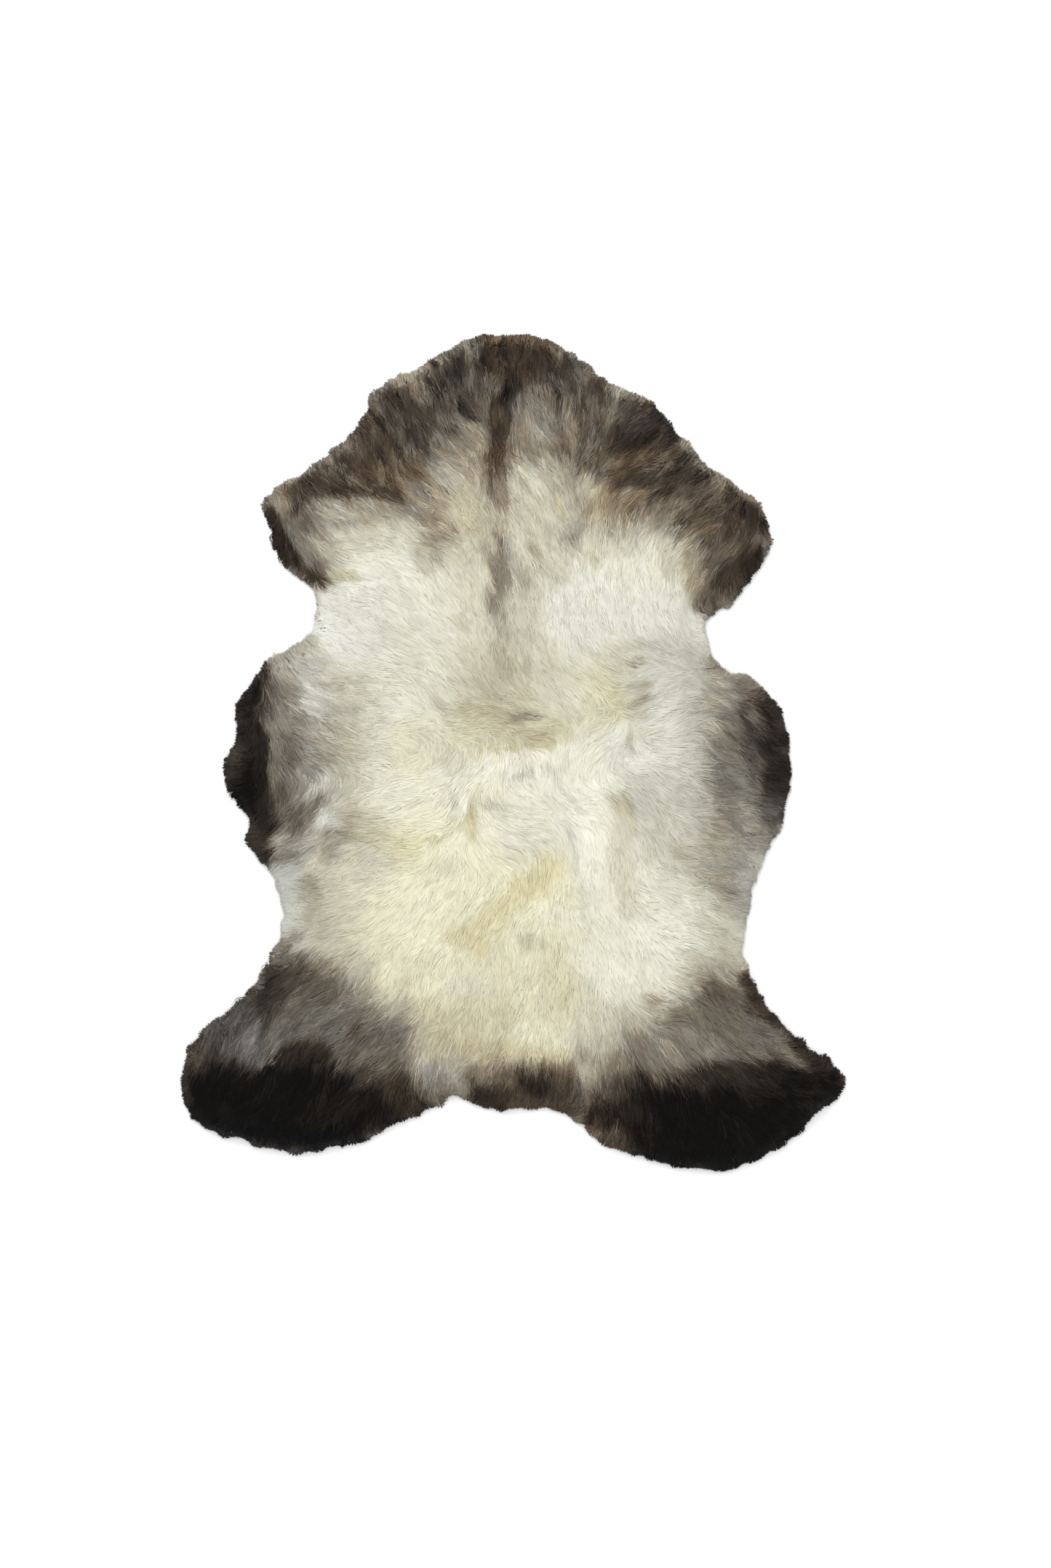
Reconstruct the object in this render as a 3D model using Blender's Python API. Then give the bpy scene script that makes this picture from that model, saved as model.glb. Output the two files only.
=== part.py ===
"""Sheepskin rug: one tanned pelt, lying flat with its wool side up.

The neck points to +Y, the hind legs to -Y, and the skin's underside lies on z = 0.
Its fleece is one lumpy slab, thick on the back and rounded down to the rim, where
locks of wool reach past the skin and come to rest on the floor.
"""

import math
import random

import bmesh
import bpy
from mathutils import Vector, kdtree, noise
from mathutils.geometry import delaunay_2d_cdt, interpolate_bezier

# Sizes in metres. The rug is about 1.00 m long and 0.79 m wide over the tips of its locks.
MM = 0.001
SKIN_THICKNESS = 2.5 * MM
FLEECE_HEIGHT = 38 * MM
RIM_HEIGHT = 15 * MM
RIM_SLOPE = 4 * MM
ROUNDED_WIDTH = 52 * MM
SKIN_INSET = 9 * MM

# Rim locks: their number, how far the slab's rim lies inside their tips, how much width and
# reach vary from one to the next, and how far they lean sideways in groups of this length.
LOCK_COUNT = 236
LOCK_REACH = 14 * MM
WIDTH_SPREAD = 0.32
SHORTEST_REACH = 0.68
LONGEST_REACH = 1.14
LEAN = 3 * MM
LEAN_GROUP = 90 * MM

# The fleece's surface is set out in cells of this size, moved by up to this share of a cell and
# kept this share of a cell inside the rim. Its lumps are these wide and high.
CELL = 16.5 * MM
CELL_JITTER = 0.22
CELL_MARGIN = 0.6
LUMPS = (
    # width, height
    (95 * MM, 4.0 * MM),
    (38 * MM, 4.5 * MM),
)

# Steps of the outline's curve between two of its points, the most that a loop is drawn in at a
# time, how far its points then even out, the spots on each of its steps that distances to the
# rim are taken from, the angle past which an edge looks sharp, and the seed of what is by chance.
CURVE_STEPS = 8
INSET_STEP = 3 * MM
RELAX = 0.3
RIM_SPOTS = 3
SHARP_ANGLE = math.radians(50)
SEED = 7

# Outline over the locks' tips, from the neck round the left side: stretch, x and y in mm.
OUTLINE = (
    ("neck", 8, 500),
    ("neck", -50, 495),
    ("neck, left", -107, 463),
    ("neck, left", -166, 434),
    ("neck, left", -183, 392),
    ("shoulder, left", -222, 356),
    ("shoulder, left", -280, 319),
    ("foreleg, left", -299, 300),
    ("foreleg, left", -290, 262),
    ("foreleg, left", -268, 210),
    ("foreleg, left", -237, 195),
    ("armpit, left", -237, 154),
    ("armpit, left", -262, 126),
    ("belly, left", -303, 101),
    ("belly, left", -332, 56),
    ("belly, left", -330, 22),
    ("belly, left", -347, -18),
    ("belly, left", -328, -62),
    ("belly, left", -317, -98),
    ("belly, left", -305, -129),
    ("waist, left", -280, -163),
    ("waist, left", -277, -205),
    ("waist, left", -294, -255),
    ("hind leg, left", -341, -307),
    ("hind leg, left", -384, -345),
    ("hind leg, left", -398, -388),
    ("hind leg, left", -381, -442),
    ("hind leg, left", -322, -467),
    ("hind leg, left", -262, -480),
    ("hind leg, left", -188, -468),
    ("rump, left", -106, -429),
    ("tail", -68, -412),
    ("tail", -15, -430),
    ("tail", 49, -424),
    ("rump, right", 104, -466),
    ("hind leg, right", 170, -489),
    ("hind leg, right", 237, -500),
    ("hind leg, right", 309, -479),
    ("hind leg, right", 353, -444),
    ("hind leg, right", 386, -417),
    ("hind leg, right", 397, -391),
    ("hind leg, right", 345, -343),
    ("hind leg, right", 305, -302),
    ("waist, right", 280, -255),
    ("waist, right", 276, -212),
    ("waist, right", 295, -137),
    ("belly, right", 322, -82),
    ("belly, right", 333, -25),
    ("belly, right", 323, 47),
    ("belly, right", 286, 91),
    ("armpit, right", 250, 102),
    ("armpit, right", 229, 146),
    ("foreleg, right", 239, 166),
    ("foreleg, right", 268, 181),
    ("foreleg, right", 304, 230),
    ("foreleg, right", 308, 263),
    ("foreleg, right", 292, 301),
    ("shoulder, right", 238, 340),
    ("shoulder, right", 197, 381),
    ("neck, right", 168, 418),
    ("neck, right", 115, 442),
    ("neck, right", 66, 479),
)

# Folds and partings in the fleece: where each stretch runs, its half width and its rise, in mm.
# Stretches with one name are one fold.
FOLDS = (
    # name, x from, y from, x to, y to, half width, rise
    ("parting on the back", -2, 425, -20, 330, 15, -4),
    ("parting on the back", -20, 330, -12, 250, 15, -5),
    ("parting on the back", -12, 250, -18, 120, 14, -4),
    ("trough over the loin", -74, 30, -10, 46, 22, -3),
    ("trough over the loin", -10, 46, 46, 54, 22, -5),
    ("lip on the loin", -60, -32, -36, 0, 17, 4),
    ("lip on the loin", -36, 0, 0, 12, 17, 5),
    ("lip on the loin", 0, 12, 80, 12, 17, 4),
    ("lip on the loin", 80, 12, 112, 30, 17, 3),
    ("crease under the lip", 20, -38, 62, -28, 15, -3),
    ("parting on the rump", 62, -52, 76, -110, 12, -5),
    ("parting on the rump", 76, -110, 84, -200, 12, -6),
    ("parting on the rump", 84, -200, 90, -350, 12, -4),
    ("crease left of the middle", -46, -46, -50, -84, 13, -6),
    ("crease left of the middle", -50, -84, -42, -118, 13, -5),
    ("swell left of the middle", -92, -50, -84, -108, 26, 4),
    ("crease right of the middle", 134, -52, 140, -88, 13, -6),
    ("crease right of the middle", 140, -88, 156, -128, 13, -5),
    ("swell in the middle", 4, -80, 22, -160, 44, 4),
    ("hollow on the right loin", 118, 44, 152, 68, 22, -4),
    ("clumped wool on the left flank", -212, 14, -232, -30, 24, 4),
    ("clumped wool on the left flank", -232, -30, -206, -84, 24, 5),
    ("hollow on the left flank", -262, -92, -180, -104, 20, -4),
    ("crease on the right foreleg", 270, 270, 284, 254, 12, -5),
    ("crease on the right foreleg", 284, 254, 296, 226, 12, -5),
    ("roll on the left foreleg", -276, 268, -246, 224, 22, 4),
    ("swell on the left hind leg", -330, -390, -210, -386, 46, 5),
    ("hollow on the left hind leg", -344, -332, -262, -354, 28, -4),
    ("swell on the right hind leg", 180, -424, 310, -402, 46, 5),
    ("swell on the tail", 0, -388, 50, -386, 30, 4),
    ("dimple on the rump", 14, -236, 34, -226, 17, -4),
    ("dimple on the right rump", 152, -304, 172, -294, 17, -4),
    ("swirl on the left of the back", -76, 150, -60, 138, 19, -4),
)

# A lock's sections from root to tip, and the share by which their heights vary.
LOCK_SECTIONS = (
    # share of the reach, share of the width, height
    (0.62, 0.82, 10.0 * MM),
    (1.00, 0.42, 3.0 * MM),
)
HEIGHT_SPREAD = 0.15

WOOL_COLOUR = (0.62, 0.57, 0.45, 1.0)
SKIN_COLOUR = (0.74, 0.66, 0.53, 1.0)
WOOL_ROUGHNESS = 0.95
SKIN_ROUGHNESS = 0.8


def clear_scene():
    for obj in list(bpy.data.objects):
        bpy.data.objects.remove(obj, do_unlink=True)


def material(name, colour, roughness):
    made = bpy.data.materials.new(name)
    made.use_nodes = True
    shader = made.node_tree.nodes["Principled BSDF"]
    shader.inputs["Base Color"].default_value = colour
    shader.inputs["Roughness"].default_value = roughness
    shader.inputs["Metallic"].default_value = 0.0
    return made


def neighbours(loop, i):
    return loop[i - 1], loop[(i + 1) % len(loop)]


def smooth_outline():
    """The outline's points joined by a smooth closed curve, as many short steps."""
    knots = [Vector((x, y, 0)) * MM for _, x, y in OUTLINE]
    ways = []
    for i in range(len(knots)):
        before, after = neighbours(knots, i)
        ways.append((after - before).normalized())
    curve = []
    for i, knot in enumerate(knots):
        follow = (i + 1) % len(knots)
        third = (knots[follow] - knot).length / 3
        handles = knot + ways[i] * third, knots[follow] - ways[follow] * third
        curve += interpolate_bezier(knot, *handles, knots[follow], CURVE_STEPS)[:-1]
    return curve


def uneven_steps(curve, count, rng):
    """count points along the closed curve, some a little nearer together than others."""
    widths = [rng.uniform(1 - WIDTH_SPREAD, 1 + WIDTH_SPREAD) for _ in range(count)]
    ends = curve[1:] + curve[:1]
    lengths = [(b - a).length for a, b in zip(curve, ends)]
    scale = sum(lengths) / sum(widths)
    points = []
    walked = wanted = 0.0
    for a, b, length in zip(curve, ends, lengths):
        while len(points) < count and wanted < walked + length:
            points.append(a.lerp(b, (wanted - walked) / length))
            wanted += widths[len(points) - 1] * scale
        walked += length
    return points


def inward(loop, i):
    before, after = neighbours(loop, i)
    along = (after - before).normalized()
    return Vector((-along.y, along.x, 0))


def inset(loop, distance):
    """The loop drawn in by distance, in small relaxed steps so that tight corners stay open."""
    steps = math.ceil(distance / INSET_STEP)
    for _ in range(steps):
        moved = [p + inward(loop, i) * (distance / steps) for i, p in enumerate(loop)]
        loop = []
        for i, p in enumerate(moved):
            before, after = neighbours(moved, i)
            along = (after - before).normalized()
            drift = ((before + after) / 2 - p).dot(along) * RELAX
            loop.append(p + along * drift)
    return loop


def edge_finder(loop):
    """A search tree over spots on the loop, RIM_SPOTS for each of its points."""
    spots = []
    for i, p in enumerate(loop):
        after = loop[(i + 1) % len(loop)]
        spots += [p.lerp(after, step / RIM_SPOTS) for step in range(RIM_SPOTS)]
    tree = kdtree.KDTree(len(spots))
    for i, p in enumerate(spots):
        tree.insert(p, i)
    tree.balance()
    return tree


def fold_rise(x, y):
    """How far the folds raise or lower the fleece at a place, each with a soft section."""
    rises = {}
    for name, from_x, from_y, to_x, to_y, half_width, rise in FOLDS:
        start = Vector((from_x, from_y)) * MM
        run = Vector((to_x, to_y)) * MM - start
        place = Vector((x, y)) - start
        share = min(max(place.dot(run) / run.length_squared, 0), 1)
        away = (place - run * share).length / (half_width * MM)
        here = rise * MM * math.exp(-(away**2))
        rises[name] = max(here, rises.get(name, 0.0), key=abs)
    return sum(rises.values())


def lump_rise(point):
    """How far the lumps raise or lower the fleece at a place."""
    return sum(height * noise.noise(point * 2 / width) for width, height in LUMPS)


def fleece_height(point, to_rim):
    """The fleece's height at a place, which lies to_rim inside the slab's upper rim."""
    share = min(to_rim / ROUNDED_WIDTH, 1)
    rounded = math.sqrt(1 - (1 - share) ** 2)
    swell = FLEECE_HEIGHT - RIM_HEIGHT + fold_rise(point.x, point.y) + lump_rise(point)
    return RIM_HEIGHT + swell * rounded


def cell_points(rim, tree, rng):
    """Uneven rows of points that fill the rim loop, half a cell or more inside it."""
    half_x = max(abs(p.x) for p in rim)
    half_y = max(abs(p.y) for p in rim)
    row_gap = CELL * math.sin(math.radians(60))
    points = []
    for row in range(-math.ceil(half_y / row_gap), math.ceil(half_y / row_gap) + 1):
        shift = CELL / 2 if row % 2 else 0.0
        for column in range(-math.ceil(half_x / CELL) - 1, math.ceil(half_x / CELL) + 2):
            x = column * CELL + shift + rng.uniform(-1, 1) * CELL * CELL_JITTER
            y = row * row_gap + rng.uniform(-1, 1) * CELL * CELL_JITTER
            point = Vector((x, y, 0))
            _, index, distance = tree.find(point)
            if distance > CELL * CELL_MARGIN and is_inside(point, rim, index // RIM_SPOTS):
                points.append(point)
    return points


def is_inside(point, loop, nearest):
    return (point - loop[nearest]).dot(inward(loop, nearest)) > 0


def fill(outer, inner):
    """Triangles, as index triples, between the points of the outer loop and the inner points."""
    flat = [Vector((p.x, p.y)) for p in outer + inner]
    border = [(i, (i + 1) % len(outer)) for i in range(len(outer))]
    _, _, faces, sources, _, _ = delaunay_2d_cdt(flat, border, [], 1, 1e-7)
    return [[sources[i][0] for i in face] for face in faces]


def add_ring(bm, loop, height):
    return [bm.verts.new((p.x, p.y, height)) for p in loop]


def join_rings(bm, lower, upper, slot):
    """Quads between two rings, facing away from the middle."""
    faces = []
    for i in range(len(lower)):
        follow = (i + 1) % len(lower)
        face = bm.faces.new((lower[i], lower[follow], upper[follow], upper[i]))
        face.material_index = slot
        faces.append(face)
    return faces


def cover(bm, ring, loop, inner, heights, slot, upwards):
    """Closes a ring with triangles, through inner points at their own heights."""
    points = [bm.verts.new((p.x, p.y, z)) for p, z in zip(inner, heights)]
    verts = ring + points
    for corners in fill(loop, inner):
        order = corners if upwards else corners[::-1]
        face = bm.faces.new([verts[i] for i in order])
        face.material_index = slot


def grow_lock(bm, root, left_tip, right_tip, rng):
    """Draws a rim face out to a tapered lock of four sides, whose underside lies on the floor.

    The lock keeps between the lines from the face's low corners to the two tips. It is short
    or long by chance, and leans sideways as much as the locks beside it.
    """
    left_root, right_root = root.verts[0].co.copy(), root.verts[1].co.copy()
    reach = rng.uniform(SHORTEST_REACH, LONGEST_REACH)
    lean = noise.noise(left_tip / LEAN_GROUP) * 2 * LEAN * (right_tip - left_tip).normalized()
    face = root
    for share, width, height in LOCK_SECTIONS:
        face = bmesh.ops.extrude_discrete_faces(bm, faces=[face])["faces"][0]
        left = left_root.lerp(left_tip, share * reach)
        right = right_root.lerp(right_tip, share * reach)
        centre = (left + right) / 2 + lean * share
        half = (right - left) / 2 * width
        raised = Vector((0, 0, height * rng.uniform(1 - HEIGHT_SPREAD, 1 + HEIGHT_SPREAD)))
        places = centre - half, centre + half, centre + half + raised, centre - half + raised
        for vert, place in zip(face.verts, places):
            vert.co = place


def centre_on_box(bm):
    """Moves the pelt so that its box is centred on the origin, seen from above."""
    xs = [v.co.x for v in bm.verts]
    ys = [v.co.y for v in bm.verts]
    middle = Vector((min(xs) + max(xs), min(ys) + max(ys), 0)) / 2
    bmesh.ops.translate(bm, verts=bm.verts, vec=-middle)


def make_pelt():
    rng = random.Random(SEED)
    outline = uneven_steps(smooth_outline(), LOCK_COUNT, rng)
    rim = inset(outline, LOCK_REACH)
    upper_rim = inset(rim, RIM_SLOPE)
    skin_edge = inset(rim, SKIN_INSET)
    tree = edge_finder(upper_rim)
    inner = cell_points(upper_rim, tree, rng)
    heights = [fleece_height(p, tree.find(p)[2]) for p in inner]

    skin, wool = 0, 1
    bm = bmesh.new()
    skin_low = add_ring(bm, skin_edge, 0)
    skin_high = add_ring(bm, skin_edge, SKIN_THICKNESS)
    rim_low = add_ring(bm, rim, 0)
    rim_high = add_ring(bm, upper_rim, RIM_HEIGHT)
    cover(bm, skin_low, skin_edge, [], [], skin, upwards=False)
    join_rings(bm, skin_low, skin_high, skin)
    join_rings(bm, skin_high, rim_low, wool)
    roots = join_rings(bm, rim_low, rim_high, wool)
    cover(bm, rim_high, upper_rim, inner, heights, wool, upwards=True)
    for i, root in enumerate(roots):
        grow_lock(bm, root, outline[i], outline[(i + 1) % len(outline)], rng)
    centre_on_box(bm)

    mesh = bpy.data.meshes.new("sheepskin")
    bm.to_mesh(mesh)
    bm.free()
    mesh.materials.append(material("tanned skin", SKIN_COLOUR, SKIN_ROUGHNESS))
    mesh.materials.append(material("wool", WOOL_COLOUR, WOOL_ROUGHNESS))
    mesh.shade_smooth()
    mesh.set_sharp_from_angle(angle=math.radians(50))
    pelt = bpy.data.objects.new("sheepskin", mesh)
    bpy.context.scene.collection.objects.link(pelt)
    return pelt


clear_scene()
make_pelt()
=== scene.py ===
"""Sheepskin rug: the looks of one tanned pelt that lies flat with its wool side up.

The neck points to +Y and the hind legs to -Y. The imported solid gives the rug's outline
and the height of its fleece. Over a low underwool stand five layers of wool and, along the
rim, a fringe. Each is a mesh of thin tapered strands that lie in wisps and locks, combed as
on the real pelt. Below them is the tanned hide.
"""

import math
from typing import NamedTuple

import bmesh
import bpy
import numpy as np
from bpy.props import FloatProperty, FloatVectorProperty, IntProperty, PointerProperty
from bpy.types import Operator, Panel, PropertyGroup
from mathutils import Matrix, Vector, kdtree
from mathutils.bvhtree import BVHTree


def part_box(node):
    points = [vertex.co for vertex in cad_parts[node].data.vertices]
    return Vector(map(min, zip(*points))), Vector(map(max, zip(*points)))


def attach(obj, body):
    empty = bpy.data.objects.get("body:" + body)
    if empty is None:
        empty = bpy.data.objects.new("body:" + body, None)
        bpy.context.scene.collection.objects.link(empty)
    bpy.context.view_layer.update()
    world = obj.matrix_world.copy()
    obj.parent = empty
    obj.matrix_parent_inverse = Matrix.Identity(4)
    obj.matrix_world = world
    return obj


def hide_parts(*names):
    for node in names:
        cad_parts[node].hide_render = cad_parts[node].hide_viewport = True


bl_info = {
    "name": "Sheepskin rug",
    "version": (1, 0, 0),
    "blender": (4, 5, 0),
    "location": "View3D > Sidebar > Sheepskin",
    "description": "Dresses a sheepskin rug with its hide, its wool and a stage",
    "category": "Add Mesh",
}

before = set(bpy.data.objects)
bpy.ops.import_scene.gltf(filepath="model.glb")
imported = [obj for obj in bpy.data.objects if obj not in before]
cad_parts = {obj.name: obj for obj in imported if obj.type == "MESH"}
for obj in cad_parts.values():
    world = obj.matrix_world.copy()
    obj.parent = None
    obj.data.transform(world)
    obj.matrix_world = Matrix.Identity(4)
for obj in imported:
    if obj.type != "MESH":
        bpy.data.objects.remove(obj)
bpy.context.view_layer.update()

MM = 0.001
BODY = "root"
NODE = "sheepskin"
SEED = 11

# The least that a length or a weight is divided by, and how near to each other points of the
# solid count as one.
TINY = 1e-6
WELD = 0.01 * MM

# Places on the rug are given as they are seen in the photograph, in its pixels from the top
# left corner: the spot that lies over the origin, and the size of a pixel on the rug.
PICTURE_SIZE = (1445, 2155)
PICTURE_MIDDLE = (703.5, 1030.5)
PICTURE_STEP = 0.8666 * MM

# The grid on which the pelt's shape is kept, how far it reaches past the solid, how far short
# of its last line it is read, in cells, and the widest gap between rim locks that counts as wool.
SHAPE_CELL = 3 * MM
SHAPE_MARGIN = 24 * MM
GRID_END = 1.001
LOCK_GAP = 9 * MM

# The wool's surface: rounds that carry it into gaps, rounds that even it out, the band along
# the rim where it falls to the floor, how round it falls, and its height at the very rim.
GAP_ROUNDS = 6
SURFACE_ROUNDS = 2
RIM_BAND = 24 * MM
RIM_CURVE = 0.9
RIM_TIP_HEIGHT = 3 * MM

# The lie of the wool: how far round its spot a bearing holds; how well bearings agree where
# wool starts to lie in order, and over what more it does so in full; how squarely the wool
# points out where it starts to turn straight out, and over what more it does so in full; from
# how far inside the rim it does, over what band, and how much wider that is where the wool
# points out; how far inside the rim its roots stand, and how much further where it turns.
LIE_REACH = 14 * MM
LIE_ORDER = (0.15, 0.6)
RIM_AIM = (-0.4, 0.5)
RIM_TURN_START = 3 * MM
RIM_TURN = (14 * MM, 18 * MM)
ROOT_INSET = (3 * MM, 6 * MM)

# How far a lock's middle is moved by chance, as a share of the distance between locks.
LOCK_SCATTER = 0.42

# Colour of the wool before any tint: pigment from 0, cream, to 1, black, and warmth from 0,
# grey, to 1, yellow or brown. A tint's warmth may go a little past either end.
CREAM_PIGMENT = 0.072
CREAM_WARMTH = 0.33

# Waves by chance in the colouring, each with its width and how far it goes: two that move the
# tints' edges, one in pale pigment, one in warmth, and three where light and dark wool mix.
DRIFT = (34 * MM, 7 * MM)
FINE_DRIFT = (11 * MM, 5 * MM)
CLOUD = (46 * MM, 0.02)
GLOW = (70 * MM, 0.1)
PATCH = (17 * MM, 0.06)
FLECK = (6 * MM, 0.05)
RUST = (14 * MM, 1.0)

# How much wider the soft edges of broad tints are than their table says, round their middle,
# and those of small tints; the widest soft edge, in pixels, that makes a tint small; and the
# share of the drift that moves a small one.
BROAD_SOFTNESS = 1.9
SMALL_SOFTNESS = 1.2
SMALL_TINT = 15
SMALL_DRIFT = 0.3

# The share of a strand's colour that it has along its whole length; the rest is the colour of
# the coat where each part of it lies.
OWN_COLOUR = 0.45

# The depths of pigment at which the wool's colours are given, cool ones and warm ones alike.
WOOL_DEPTHS = (0.0, 0.2, 0.5, 0.8, 0.9, 1.0)

# How the streaks are drawn out across and along a strand; how far they change its pigment in wool of one
# colour, and how much more where light and dark wool mix; and how much darker and warmer its root is,
# which is partly the wool's own colour and partly painted shade under the strands above it.
STREAK_DRAW = (5.0, 1.1, 1.0)
MOTTLE = (0.01, 0.18)
ROOT_TONE_AND_PAINTED_SHADE = 0.02
ROOT_WARMTH_AND_PAINTED_SHADE = 0.05

# The shades at which the skin's colours are given, from dark to light.
SKIN_DEPTHS = (0.3, 0.5, 0.7)

# The pigment from which wool is a mixture of light and dark fibres, and over how much more it
# grows to one; the pigment up to which it is one, and over how much below that it fades.
MIXED_FROM = (0.12, 0.4)
MIXED_TO = (1.05, 0.3)

# From the flanks to the shoulders the locks differ more and more in colour: how much they do at
# the hind legs, where it starts to grow, and over what length it does.
LEAST_LIVELY = 0.45
LIVELY_FROM = 200 * MM
LIVELY_OVER = 70 * MM

# How pigment and warmth differ from lock to lock, from wisp to wisp and from strand to strand:
# in wool of one colour, and how much more where light and dark wool mix.
LOCK_TONE = (0.01, 0.055)
WISP_TONE = (0.004, 0.03)
STRAND_TONE = (0.004, 0.03)
COAT_RUST = (0.03, 0.08)
LOCK_RUST = (0.02, 0.09)
WISP_RUST = (0.02, 0.06)
STRAND_RUST = (0.02, 0.08)

# How far from its place a wisp and a strand take their colour, and the share of that in the
# fringe; from which part of a wisp its own colour comes, how far that differs from strand to
# strand, and the first and last part that it may come from.
WISP_ASTRAY = 2 * MM
STRAND_ASTRAY = 3 * MM
FRINGE_ASTRAY = 0.3
OWN_PART = (0.35, 0.95)
OWN_PART_SPREAD = 0.1
OWN_PART_ENDS = (0.3, 0.99)
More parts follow.
